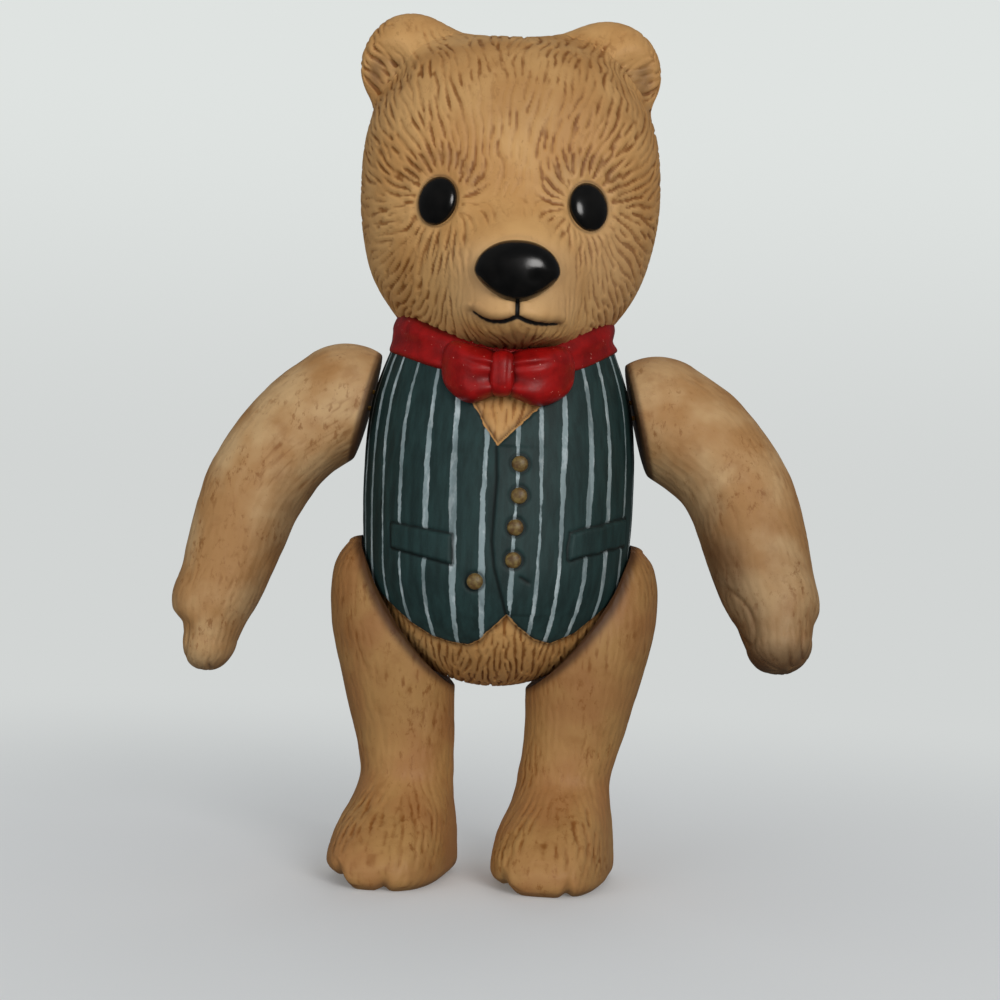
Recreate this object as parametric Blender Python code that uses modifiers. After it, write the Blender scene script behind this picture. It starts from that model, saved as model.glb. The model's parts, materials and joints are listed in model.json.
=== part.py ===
"""Jointed porcelain bear in a waistcoat, strung with elastic.

The body is one hollow casting with head, waistcoat, collar and bow tie moulded on it. Two arms and two
legs, also hollow castings, turn on its sides. A wire eye set in a plaster plug stands out of each limb,
and one loop of elastic runs through both arm eyes and another through both leg eyes.

Sizes below are in millimetres. The bear faces -Y, its own left side is +X, and its soles stand at z = 0.
Depths are measured from the body's upright axis, which stands at y = BODY_AXIS_Y.
"""

import math

import bmesh
import bpy
import numpy as np
from mathutils import Matrix, Vector

MM = 0.001

# The body's upright axis stands behind the origin, so that the bear is centred front to back.
BODY_AXIS_Y = 3.9

# Round lower body: the thighs turn on it as on a ball.
BALL_RADIUS = 16.4
BALL_Z = 39.9
BELLY_FRONT = 15.4
BELLY_BACK = 13.6

# Torso above the ball, each as height, half-width, front depth and back depth.
BALL_TOP_Z = 39.0
CHEST_Z = 48.0
CHEST_HALF_WIDTH = 16.75
CHEST_FRONT = 15.0
CHEST_BACK = 13.2
SHOULDER_Z = 59.0
SHOULDER_HALF_WIDTH = 16.0
SHOULDER_FRONT = 12.8
SHOULDER_BACK = 11.8
NECK_Z = 69.5
NECK_HALF_WIDTH = 12.4
NECK_FRONT = 11.2
NECK_BACK = 10.6

# Head: a rounded block, deeper below its middle than above.
HEAD_Z = 85.6
HEAD_HALF_WIDTH = 18.8
HEAD_FRONT = 15.6
HEAD_BACK = 15.4
HEAD_UP = 19.5
HEAD_DOWN = 21.8
BROW_BOXINESS = 2.5
CHEEK_BOXINESS = 2.25
BOXINESS_BLEND = 0.35
MUZZLE_X = 1.0
MUZZLE_Z = 72.2
MUZZLE_OUT = 7.4
MUZZLE_HALF_WIDTH = 9.2
MUZZLE_HALF_HEIGHT = 8.2
MUZZLE_FLATNESS = 2.8
MUZZLE_SPREAD = 2.2
CHIN_X = 1.9
CHIN_Z = 66.8
CHIN_OUT = 4.6
CHIN_HALF_WIDTH = 6.2
CHIN_HALF_HEIGHT = 3.4
INNER_MUZZLE_SHARE = 0.7
EYE_SPACING = 18.1
EYE_X = 0.4
EYE_Z = 82.4
EYE_HALF_WIDTH = 2.3
EYE_HALF_HEIGHT = 2.9
EYE_BULGE = 1.3
EYE_LEAN = 8.0
NOSE_X = 1.2
NOSE_Z = 74.0
NOSE_HALF_WIDTH = 5.0
NOSE_HALF_HEIGHT = 3.6
NOSE_HALF_DEPTH = 3.0
NOSE_RISE = 1.9
NOSE_NARROWING = 0.36
EAR_SPACING = 25.4
EAR_Z = 101.9
EAR_FORWARD = 1.2
EAR_LEAN = 50.0
# Each ear from its root in the head to its tip: distance along it, half-width and half-depth.
EAR_STATIONS = (
    (-8.0, 10.2, 6.6),
    (-6.0, 8.5, 5.6),
    (-4.0, 7.3, 4.6),
    (-2.0, 6.7, 3.9),
    (0.0, 6.4, 3.5),
    (2.0, 6.1, 3.2),
    (4.0, 5.0, 2.8),
    (5.4, 3.4, 2.1),
    (6.1, 1.9, 1.2),
)
EAR_TIP = 6.4
EAR_HOLLOW_HALF_SIZES = (3.9, 2.3, 4.2)
EAR_HOLLOW_SHIFT = (1.2, -1.6)

# Clothes, moulded on the casting.
VEST_THICKNESS = 0.3
VEST_BACK_HEM_Z = 36.6
COLLAR_Z = 67.6
COLLAR_HALF_HEIGHT = 2.3
COLLAR_THICKNESS = 1.5
COLLAR_DIP_FRONT = 3.6
COLLAR_RISE_BACK = 0.8
BOW_Z = 61.9
BOW_HALF_WIDTH = 7.9
BOW_HALF_HEIGHT = 4.1
BOW_THICKNESS = 5.6
KNOT_HALF_WIDTH = 2.2
KNOT_HALF_DEPTH = 3.4
KNOT_SHARE = 0.74
BUTTON_RADIUS = 1.0
BUTTON_RISE = 0.5
BUTTON_PLACES = ((2.45, 51.4), (2.5, 47.6), (2.2, 43.8), (2.1, 39.9), (-2.35, 37.2))
POCKET_RISE = 0.35
POCKET_HALF_LENGTH = 3.5
POCKET_HALF_HEIGHT = 1.6
# Each welt's middle as side offset and height, and how steeply it rises towards the bear's left.
POCKET_PLACES = ((-8.9, 41.6, -0.18), (12.1, 42.7, 0.27))

# Walls of the castings, and the holes for stringing and venting.
BODY_WALL = 2.2
LIMB_WALL = 1.6
STRINGING_HOLE_RADIUS = 1.9
STRINGING_HOLE_DEPTH = 9.0
VENT_RADIUS = 1.5

# Joints. An arm's axis rises outwards and a leg's falls, each square to the body's side.
SHOULDER_TILT = 13.0
HIP_TILT = -27.0
LEFT_ARM_SWING = 20.0
RIGHT_ARM_SWING = 0.0
SEAT_GAP = 0.3
BALL_SEAT_GAP = 0.4

# Arms: from the joint to the tip of the paw, sideways and down, with half-width across and half-depth.
ARM_REACH = 20.0
ARM_DROP = 34.6
ARM_STATIONS = (
    (0.150, 0.029, 8.0, 6.9),
    (0.380, 0.118, 7.6, 6.8),
    (0.570, 0.223, 6.8, 6.5),
    (0.705, 0.350, 6.4, 6.2),
    (0.790, 0.491, 6.0, 5.9),
    (0.870, 0.647, 5.5, 5.6),
    (0.940, 0.765, 5.5, 5.6),
    (0.970, 0.884, 4.1, 4.9),
)
ARM_FORWARD = 2.0
PAW_ROUNDING = 0.2

# Legs: heights above the sole, side offset from the body's middle, half-width, front and back depth.
# The thighs stand as far out as the seat ball that they were shaped to.
THIGH_SEAT_RADIUS = 17.1
LEG_TOP_Z = 41.8
ANKLE_X = 9.9
ANKLE_TO_HIP = (12.0, 30.0)
FOOT_SQUARENESS = 2.9
LEG_STATIONS = (
    (41.0, 16.5, 2.0, 2.4, 2.4),
    (39.5, 15.6, 4.1, 5.0, 4.8),
    (37.0, 14.3, 6.2, 6.8, 6.6),
    (34.0, 13.2, 7.4, 8.0, 7.7),
    (30.0, 12.3, 7.9, 8.5, 8.3),
    (25.0, 11.7, 7.3, 8.0, 8.0),
    (20.0, 11.1, 6.6, 6.9, 7.2),
    (15.0, 10.3, 6.0, 6.2, 6.6),
    (12.0, 9.9, 5.9, 6.6, 6.4),
    (9.5, 9.9, 6.2, 9.2, 6.4),
    (7.0, 9.9, 6.7, 13.0, 6.8),
    (4.5, 9.9, 7.1, 16.0, 7.2),
    (2.2, 9.9, 7.3, 17.2, 7.2),
    (0.7, 9.9, 7.0, 16.8, 6.9),
)
SOLE_HALF_WIDTH = 6.2
SOLE_FRONT = 15.8
SOLE_BACK = 6.2
TOE_TURN = 9.0
TOE_COUNT = 4
TOE_DEPTH = 0.5

# Stringing: wire eyes, plaster plugs, elastic loops and their crimps.
WIRE_RADIUS = 0.3
EYE_HALF_GAUGE = 1.05
EYE_STANDS_OUT = 3.0
EYE_SET_IN = 2.6
WIRE_CLEARANCE = 0.15
PLUG_RADIUS = 1.75
PLUG_LENGTH = 3.0
PLUG_CLEARANCE = 0.12
PLUG_RECESS = 0.3
ELASTIC_RADIUS = 0.4
ELASTIC_CLEARANCE = 0.2
CRIMP_LENGTH = 3.6
CRIMP_WALL = 0.35
CRIMP_CLEARANCE = 0.12

# How finely the round forms are divided.
TORSO_SIDES = 40
HEAD_SIDES = 40
HEAD_RINGS = 24
LIMB_SIDES = 24
EAR_SIDES = 20
CAVITY_SIDES = 20
HOLE_SIDES = 20


def clear_scene():
    for obj in list(bpy.data.objects):
        bpy.data.objects.remove(obj, do_unlink=True)


def make_collection(name):
    collection = bpy.data.collections.new(name)
    bpy.context.scene.collection.children.link(collection)
    return collection


def plain_material(name, colour, roughness, metallic=0.0):
    material = bpy.data.materials.new(name)
    material.use_nodes = True
    shader = material.node_tree.nodes["Principled BSDF"]
    shader.inputs["Base Color"].default_value = (*colour, 1.0)
    shader.inputs["Roughness"].default_value = roughness
    shader.inputs["Metallic"].default_value = metallic
    return material


def add_object(name, mesh, collection, material=None, smooth_angle=40.0):
    obj = bpy.data.objects.new(name, mesh)
    collection.objects.link(obj)
    if material:
        mesh.materials.append(material)
    mesh.shade_smooth()
    mesh.set_sharp_from_angle(angle=math.radians(smooth_angle))
    return obj


def as_cutter(obj):
    obj.hide_render = True
    obj.display_type = "WIRE"
    return obj


def boolean(obj, other, operation):
    modifier = obj.modifiers.new(f"{operation} {other.name}", "BOOLEAN")
    modifier.operation = operation
    modifier.solver = "EXACT"
    modifier.object = other


def face_outwards(bm):
    bm.normal_update()
    bmesh.ops.recalc_face_normals(bm, faces=bm.faces)


def loft(name, rings, first_tip, last_tip, collection, material=None):
    """A closed skin over rings of equal point counts, each end drawn to a tip or closed flat."""
    bm = bmesh.new()
    rows = [[bm.verts.new(Vector(point) * MM) for point in ring] for ring in rings]
    sides = len(rows[0])
    for upper, lower in zip(rows, rows[1:]):
        for i in range(sides):
            j = (i + 1) % sides
            bm.faces.new((upper[i], lower[i], lower[j], upper[j]))
    for row, tip, turn in ((rows[0], first_tip, 1), (rows[-1], last_tip, -1)):
        if tip is None:
            bm.faces.new(row[::turn])
            continue
        point = bm.verts.new(Vector(tip) * MM)
        for i in range(sides):
            edge = (row[i], row[(i + 1) % sides])
            bm.faces.new((point, *edge[::turn]))
    face_outwards(bm)
    mesh = bpy.data.meshes.new(name)
    bm.to_mesh(mesh)
    bm.free()
    return add_object(name, mesh, collection, material)


def ball(name, centre, half_sizes, collection, segments=20, rings=12, material=None):
    """An egg or ball: a sphere of unlike half-sizes."""
    bm = bmesh.new()
    bmesh.ops.create_uvsphere(bm, u_segments=segments, v_segments=rings, radius=1.0)
    bmesh.ops.scale(bm, vec=Vector(half_sizes) * MM, verts=bm.verts)
    bmesh.ops.translate(bm, vec=Vector(centre) * MM, verts=bm.verts)
    mesh = bpy.data.meshes.new(name)
    bm.to_mesh(mesh)
    bm.free()
    return add_object(name, mesh, collection, material)


def rod(name, start, end, radius, collection, sides=HOLE_SIDES, material=None):
    """A straight round bar between two points."""
    start, end = Vector(start) * MM, Vector(end) * MM
    along = end - start
    bm = bmesh.new()
    bmesh.ops.create_cone(
        bm, cap_ends=True, segments=sides, radius1=radius * MM, radius2=radius * MM, depth=along.length
    )
    turn = Vector((0, 0, 1)).rotation_difference(along).to_matrix().to_4x4()
    bmesh.ops.transform(bm, matrix=Matrix.Translation((start + end) / 2) @ turn, verts=bm.verts)
    mesh = bpy.data.meshes.new(name)
    bm.to_mesh(mesh)
    bm.free()
    return add_object(name, mesh, collection, material)


def smooth_through(heights, values, z, first_slope=None):
    """A smooth curve through the values at rising heights, with no overshoot between them."""
    heights, values = np.asarray(heights, float), np.asarray(values, float)
    step = np.diff(heights)
    rise = np.diff(values) / step
    slope = np.empty_like(values)
    slope[0], slope[-1] = rise[0], rise[-1]
    slope[1:-1] = np.where(rise[:-1] * rise[1:] > 0, (rise[:-1] + rise[1:]) / 2, 0.0)
    if first_slope is not None:
        slope[0] = first_slope
    k = np.clip(np.searchsorted(heights, z) - 1, 0, len(step) - 1)
    t = (z - heights[k]) / step[k]
    return (
        values[k] * (2 * t**3 - 3 * t**2 + 1)
        + slope[k] * step[k] * (t**3 - 2 * t**2 + t)
        + values[k + 1] * (3 * t**2 - 2 * t**3)
        + slope[k + 1] * step[k] * (t**3 - t**2)
    )


def torso_sizes(z, grow=0.0):
    """Half-width, front depth and back depth of the torso at height z, grown outwards by grow."""
    z = np.minimum(np.asarray(z, float), NECK_Z)
    radius = BALL_RADIUS + grow
    join_width = math.sqrt(BALL_RADIUS**2 - (BALL_Z - BALL_TOP_Z) ** 2)
    heights = (BALL_TOP_Z, CHEST_Z, SHOULDER_Z, NECK_Z)
    slope = (BALL_Z - BALL_TOP_Z) / join_width
    widths = (join_width, CHEST_HALF_WIDTH, SHOULDER_HALF_WIDTH, NECK_HALF_WIDTH)
    above = smooth_through(heights, widths, np.maximum(z, BALL_TOP_Z), slope) + grow
    below = np.sqrt(np.maximum(radius**2 - (BALL_Z - np.minimum(z, BALL_TOP_Z)) ** 2, 0.0))
    half_width = np.where(z > BALL_TOP_Z, above, below)
    front = smooth_through(
        heights,
        (
            BELLY_FRONT / BALL_RADIUS,
            CHEST_FRONT / CHEST_HALF_WIDTH,
            SHOULDER_FRONT / SHOULDER_HALF_WIDTH,
            NECK_FRONT / NECK_HALF_WIDTH,
        ),
        np.maximum(z, BALL_TOP_Z),
    )
    back = smooth_through(
        heights,
        (
            BELLY_BACK / BALL_RADIUS,
            CHEST_BACK / CHEST_HALF_WIDTH,
            SHOULDER_BACK / SHOULDER_HALF_WIDTH,
            NECK_BACK / NECK_HALF_WIDTH,
        ),
        np.maximum(z, BALL_TOP_Z),
    )
    return half_width, half_width * front, half_width * back


def oval(half_width, front, back, z, sides, centre_x=0.0):
    """One level ring: an ellipse whose front and back halves differ in depth."""
    angle = np.arange(sides) * 2 * math.pi / sides
    across = half_width * np.cos(angle)
    deep = np.where(np.sin(angle) < 0, front, back) * np.sin(angle)
    return np.column_stack((centre_x + across, BODY_AXIS_Y + deep, np.full(sides, z)))


def torso_form(name, collection, grow=0.0, top_z=NECK_Z, sides=TORSO_SIDES, material=None):
    """The torso, or with grow its waistcoat or its cavity."""
    radius = BALL_RADIUS + grow
    top_z = top_z + min(grow, 0.0)
    falls = np.radians(np.arange(8, 79, 7 if grow >= 0 else 14))
    levels = [BALL_Z - radius * math.cos(fall) for fall in falls]
    levels = [z for z in levels if z < BALL_TOP_Z - 1.0]
    levels += list(np.linspace(BALL_TOP_Z, top_z, 10 if grow >= 0 else 6))
    sizes = np.array(torso_sizes(levels, grow)).T
    rings = [oval(*size, z, sides) for size, z in zip(sizes, levels)]
    return loft(name, rings, (0, BODY_AXIS_Y, BALL_Z - radius), None, collection, material)


def on_torso_front(x, z, grow=0.0):
    """The point of the torso's front skin at side offset x and height z."""
    half_width, front, _ = torso_sizes(z, grow)
    return BODY_AXIS_Y - float(front * np.sqrt(max(1 - (x / half_width) ** 2, 0.0)))


def bell(x, z, centre, half_sizes):
    """A flat-topped bell over the face: one at its centre and fading past its half-sizes."""
    across = np.abs((x - centre[0]) / half_sizes[0])
    up = np.abs((z - centre[1]) / half_sizes[1])
    return np.exp(-(across**MUZZLE_FLATNESS + up**MUZZLE_FLATNESS))


def muzzle_swell(x, z):
    """How far muzzle and chin carry the face forwards at side offset x and height z."""
    muzzle = bell(x, z, (MUZZLE_X, MUZZLE_Z), (MUZZLE_HALF_WIDTH, MUZZLE_HALF_HEIGHT))
    chin = bell(x, z, (CHIN_X, CHIN_Z), (CHIN_HALF_WIDTH, CHIN_HALF_HEIGHT))
    return MUZZLE_OUT * muzzle + CHIN_OUT * chin


def boxiness(rise):
    """The head's roundness power, which grows from cheeks to brow; rise is a share of the head's height."""
    t = np.clip((rise + BOXINESS_BLEND) / (2 * BOXINESS_BLEND), 0.0, 1.0)
    return CHEEK_BOXINESS + (BROW_BOXINESS - CHEEK_BOXINESS) * t * t * (3 - 2 * t)


def head_points(directions, shrink=0.0):
    """The head's skin in the given unit directions from its middle."""
    d = np.asarray(directions, float)
    power = boxiness(d[:, 2])
    boxy = (np.abs(d) ** power[:, None]).sum(axis=1) ** (-1 / power)
    deep = np.where(d[:, 1] < 0, HEAD_FRONT, HEAD_BACK) - shrink
    tall = np.where(d[:, 2] > 0, HEAD_UP, HEAD_DOWN) - shrink
    points = d * boxy[:, None] * np.column_stack((np.full(len(d), HEAD_HALF_WIDTH - shrink), deep, tall))
    points[:, 2] += HEAD_Z
    facing = np.clip(-d[:, 1] * MUZZLE_SPREAD, 0.0, 1.0)
    share = 1.0 if shrink == 0 else INNER_MUZZLE_SHARE
    points[:, 1] -= muzzle_swell(points[:, 0], points[:, 2]) * facing * share
    points[:, 1] += BODY_AXIS_Y
    return points


def head_form(name, collection, shrink=0.0, sides=HEAD_SIDES, rings=HEAD_RINGS):
    bm = bmesh.new()
    bmesh.ops.create_uvsphere(bm, u_segments=sides, v_segments=rings, radius=1.0)
    directions = np.array([vert.co[:] for vert in bm.verts])
    for vert, point in zip(bm.verts, head_points(directions, shrink)):
        vert.co = Vector(point) * MM
    mesh = bpy.data.meshes.new(name)
    bm.to_mesh(mesh)
    bm.free()
    return add_object(name, mesh, collection)


def face_depth(x, z):
    """The y of the face's skin at side offset x and height z."""
    tall = HEAD_UP if z > HEAD_Z else HEAD_DOWN
    power = float(boxiness((z - HEAD_Z) / tall))
    filled = abs(x / HEAD_HALF_WIDTH) ** power + abs((z - HEAD_Z) / tall) ** power
    deep = HEAD_FRONT * max(1 - filled, 0.0) ** (1 / power)
    return BODY_AXIS_Y - deep - float(muzzle_swell(x, z))


def ear_forms(cutters):
    """Both ears: thick pads that spread into the head's corners, each with a hollow on its outer front."""
    ears = []
    turn = np.arange(EAR_SIDES) * 2 * math.pi / EAR_SIDES
    for side in (-1, 1):
        centre = np.array((side * EAR_SPACING / 2, BODY_AXIS_Y - EAR_FORWARD, EAR_Z))
        lean = math.radians(EAR_LEAN)
        along = np.array((side * math.cos(lean), 0.0, math.sin(lean)))
        sideways = np.cross(along, (0.0, 1.0, 0.0))
        rings = [
            centre
            + along * t
            + np.outer(np.cos(turn) * half_width, sideways)
            + np.outer(np.sin(turn) * half_depth, (0.0, 1.0, 0.0))
            for t, half_width, half_depth in EAR_STATIONS
        ]
        ear = loft(f"ear_{side}", rings, None, centre + along * EAR_TIP, cutters)
        shift_x, shift_z = EAR_HOLLOW_SHIFT
        front = (centre[0] + side * shift_x, centre[1] - EAR_STATIONS[4][2], EAR_Z + shift_z)
        hollow = ball(f"ear_hollow_{side}", front, EAR_HOLLOW_HALF_SIZES, cutters, 16, 10)
        boolean(ear, as_cutter(hollow), "DIFFERENCE")
        ears.append(as_cutter(ear))
    return ears


def vest_outline():
    """The waistcoat's front edge as side offset and height: V neck, two points at the hem, side hems."""
    return (
        (-24.0, 76.0),
        (-4.2, 66.0),
        (-3.5, 58.6),
        (-2.0, 55.9),
        (-0.3, 53.5),
        (2.2, 56.0),
        (5.1, 58.8),
        (5.6, 66.0),
        (24.0, 76.0),
        (24.0, VEST_BACK_HEM_Z + 0.5),
        (16.3, VEST_BACK_HEM_Z + 0.1),
        (15.2, 35.9),
        (12.7, 33.6),
        (9.9, 31.2),
        (6.9, 29.9),
        (5.1, 30.4),
        (2.9, 32.4),
        (1.6, 34.2),
        (-1.0, 31.2),
        (-2.9, 29.4),
        (-5.0, 29.8),
        (-7.2, 30.7),
        (-10.2, 32.4),
        (-14.3, 35.4),
        (-16.0, VEST_BACK_HEM_Z + 0.1),
        (-24.0, VEST_BACK_HEM_Z + 0.5),
    )


def prism(name, outline, y_from, y_to, collection):
    """A flat outline in the x-z plane carried straight from one depth to another."""
    curve = bpy.data.curves.new(name, "CURVE")
    curve.dimensions = "2D"
    curve.fill_mode = "BOTH"
    curve.extrude = abs(y_to - y_from) / 2 * MM
    spline = curve.splines.new("POLY")
    spline.points.add(len(outline) - 1)
    for point, (x, z) in zip(spline.points, outline):
        point.co = (x * MM, z * MM, 0, 1)
    spline.use_cyclic_u = True
    guide = bpy.data.objects.new(name + "_guide", curve)
    collection.objects.link(guide)
    guide.rotation_euler = (math.pi / 2, 0, 0)
    guide.location = (0, (y_from + y_to) / 2 * MM, 0)
    return curve_to_mesh(guide, name, collection)


def curve_to_mesh(guide, name, collection, material=None):
    """A mesh object in place of a curve, with its caps welded."""
    bpy.context.view_layer.update()
    graph = bpy.context.evaluated_depsgraph_get()
    mesh = bpy.data.meshes.new_from_object(guide.evaluated_get(graph))
    mesh.name = name
    bm = bmesh.new()
    bm.from_mesh(mesh)
    bmesh.ops.remove_doubles(bm, verts=bm.verts, dist=0.00001)
    face_outwards(bm)
    bm.to_mesh(mesh)
    bm.free()
    obj = add_object(name, mesh, collection, material)
    obj.matrix_world = guide.matrix_world
    bpy.data.objects.remove(guide, do_unlink=True)
    return obj


def vest_form(cutters):
    """The waistcoat: a thin layer over the torso, cut to its outline in front and level behind."""
    vest = torso_form("vest_layer", cutters, grow=VEST_THICKNESS, top_z=NECK_Z - 1.0)
    front = prism("vest_front", vest_outline(), BODY_AXIS_Y - 40, BODY_AXIS_Y, cutters)
    back = prism(
        "vest_back",
        ((-25, 77), (25, 77), (25, VEST_BACK_HEM_Z), (-25, VEST_BACK_HEM_Z)),
        BODY_AXIS_Y - 0.5,
        BODY_AXIS_Y + 40,
        cutters,
    )
    boolean(front, as_cutter(back), "UNION")
    boolean(vest, as_cutter(front), "INTERSECT")
    return as_cutter(vest)


def collar_form(cutters):
    """The collar band: an oval hoop round the neck, lower in front."""
    mesh_ring = []
    steps = TORSO_SIDES
    profile = [(math.cos(a), math.sin(a)) for a in np.arange(8) * math.pi / 4]
    for k in range(steps):
        angle = 2 * math.pi * k / steps
        dip = COLLAR_DIP_FRONT if math.sin(angle) < 0 else COLLAR_RISE_BACK
        height = COLLAR_Z + dip * math.sin(angle) * abs(math.sin(angle))
        half_width, front, back = (float(v) for v in torso_sizes(height))
        x = half_width * math.cos(angle)
        y = (front if math.sin(angle) < 0 else back) * math.sin(angle)
        reach = math.hypot(x, y)
        ring = []
        for out, up in profile:
            scale = (reach + COLLAR_THICKNESS * out) / reach
            ring.append((x * scale, BODY_AXIS_Y + y * scale, height + COLLAR_HALF_HEIGHT * up))
        mesh_ring.append(ring)
    bm = bmesh.new()
    rows = [[bm.verts.new(Vector(p) * MM) for p in ring] for ring in mesh_ring]
    for k, row in enumerate(rows):
        following = rows[(k + 1) % steps]
        for i in range(len(profile)):
            j = (i + 1) % len(profile)
            bm.faces.new((row[i], following[i], following[j], row[j]))
    face_outwards(bm)
    mesh = bpy.data.meshes.new("collar")
    bm.to_mesh(mesh)
    bm.free()
    return as_cutter(add_object("collar", mesh, cutters))


def bow_forms(cutters):
    """The bow tie: two wings that widen outwards from a knot."""
    y = on_torso_front(0.0, BOW_Z) - 1.2
    forms = []
    for side in (-1, 1):
        bm = bmesh.new()
        bmesh.ops.create_cube(bm, size=2.0)
        bmesh.ops.subdivide_edges(bm, edges=bm.edges, cuts=1, use_grid_fill=True)
        for vert in bm.verts:
            out = (vert.co.x + 1) / 2
            tall = 0.66 + 0.38 * out
            vert.co.z *= BOW_HALF_HEIGHT * tall
            vert.co.y *= BOW_THICKNESS / 2 * (0.7 + 0.5 * out)
            vert.co.y += 1.3 * out
            vert.co.z += -0.35 * out
            vert.co.x = side * (0.6 + (BOW_HALF_WIDTH - 0.2) * out)
            vert.co = (vert.co + Vector((0, y, BOW_Z))) * MM
        face_outwards(bm)
        mesh = bpy.data.meshes.new(f"bow_wing_{side}")
        bm.to_mesh(mesh)
        bm.free()
        wing = add_object(f"bow_wing_{side}", mesh, cutters)
        soften(wing)
        forms.append(as_cutter(wing))
    knot_sizes = (KNOT_HALF_WIDTH, KNOT_HALF_DEPTH, BOW_HALF_HEIGHT * KNOT_SHARE)
    knot = ball("bow_knot", (0.3, y - 0.6, BOW_Z), knot_sizes, cutters, 14, 10)
    forms.append(as_cutter(knot))
    return forms


def soften(obj, levels=1):
    modifier = obj.modifiers.new("Rounded form", "SUBSURF")
    modifier.levels = levels
    modifier.render_levels = levels


def face_forms(cutters):
    """Nose and eyes: glossy raised forms on the face."""
    nose_y = face_depth(NOSE_X, NOSE_Z) + NOSE_HALF_DEPTH - NOSE_RISE
    nose_sizes = (NOSE_HALF_WIDTH, NOSE_HALF_DEPTH, NOSE_HALF_HEIGHT)
    nose = ball("nose", (NOSE_X, nose_y, NOSE_Z), nose_sizes, cutters, 20, 12)
    for vert in nose.data.vertices:
        drop = (NOSE_Z * MM - vert.co.z) / (NOSE_HALF_HEIGHT * MM)
        narrow = 1.0 - NOSE_NARROWING * max(drop, 0.0) ** 2
        vert.co.x = NOSE_X * MM + (vert.co.x - NOSE_X * MM) * narrow
    forms = [as_cutter(nose)]
    for side in (-1, 1):
        x = EYE_X + side * EYE_SPACING / 2
        y = face_depth(x, EYE_Z)
        eye = ball(f"eye_{side}", (0, 0, 0), (EYE_HALF_WIDTH, EYE_BULGE, EYE_HALF_HEIGHT), cutters, 20, 12)
        sideways = (face_depth(x + 0.5, EYE_Z) - face_depth(x - 0.5, EYE_Z)) / 1.0
        upwards = (face_depth(x, EYE_Z + 0.5) - face_depth(x, EYE_Z - 0.5)) / 1.0
        eye.matrix_world = (
            Matrix.Translation(Vector((x, y, EYE_Z)) * MM)
            @ Matrix.Rotation(math.atan(sideways), 4, "Z")
            @ Matrix.Rotation(math.atan(upwards), 4, "X")
            @ Matrix.Rotation(math.radians(-side * EYE_LEAN), 4, "Y")
        )
        forms.append(as_cutter(eye))
    return forms


def trim_forms(cutters):
    """Buttons and pocket welts on the waistcoat: four buttons on the upper front, one on the other."""
    forms = []
    for index, (x, z) in enumerate(BUTTON_PLACES):
        place = (x, on_torso_front(x, z, VEST_THICKNESS), z)
        button = ball(f"button_{index}", place, (BUTTON_RADIUS, BUTTON_RISE, BUTTON_RADIUS), cutters, 10, 6)
        forms.append(as_cutter(button))
    for index, (x, z, slope) in enumerate(POCKET_PLACES):
        outline = [
            (x + along, z + slope * along + up)
            for along, up in (
                (-POCKET_HALF_LENGTH, -POCKET_HALF_HEIGHT),
                (-POCKET_HALF_LENGTH, POCKET_HALF_HEIGHT),
                (POCKET_HALF_LENGTH, POCKET_HALF_HEIGHT),
                (POCKET_HALF_LENGTH, -POCKET_HALF_HEIGHT),
            )
        ]
        welt = torso_form(f"pocket_welt_{index}", cutters, grow=VEST_THICKNESS + POCKET_RISE)
        window = prism(f"pocket_window_{index}", outline, BODY_AXIS_Y - 40, BODY_AXIS_Y - 6, cutters)
        boolean(welt, as_cutter(window), "INTERSECT")
        forms.append(as_cutter(welt))
    return forms


def joint_frame(side, tilt, point):
    """A joint's place and its outward axis."""
    angle = math.radians(tilt)
    axis = Vector((side * math.cos(angle), 0.0, math.sin(angle)))
    return Vector(point), axis


def shoulder_joint(side):
    """The arm's seat touches the widest point of the clothed shoulder, square to the arm's axis."""
    angle = math.radians(SHOULDER_TILT)
    levels = np.linspace(BALL_TOP_Z, NECK_Z, 60)
    half_width = torso_sizes(levels, VEST_THICKNESS)[0]
    reach = (half_width * math.cos(angle) + levels * math.sin(angle)).max() + SEAT_GAP
    x = (reach - SHOULDER_Z * math.sin(angle)) / math.cos(angle)
    return joint_frame(side, SHOULDER_TILT, (side * x, BODY_AXIS_Y, SHOULDER_Z))


def hip_seat_radius():
    return BALL_RADIUS + VEST_THICKNESS + BALL_SEAT_GAP


def hip_joint(side):
    """The leg's seat lies on a ball round the body's own ball, and its axis points from their middle."""
    angle = math.radians(HIP_TILT)
    radius = hip_seat_radius()
    point = (side * radius * math.cos(angle), BODY_AXIS_Y, BALL_Z + radius * math.sin(angle))
    return joint_frame(side, HIP_TILT, point)


def arm_spine(side):
    """The arm's middle line with its half-sizes, from the joint's place to the paw."""
    joint, _ = shoulder_joint(side)
    rows = []
    for reach, drop, across, deep in ARM_STATIONS:
        forward = ARM_FORWARD * reach**2
        rows.append((side * reach * ARM_REACH, -forward, -drop * ARM_DROP, across, deep))
    return [(joint + Vector(row[:3]), row[3], row[4]) for row in rows]


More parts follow.
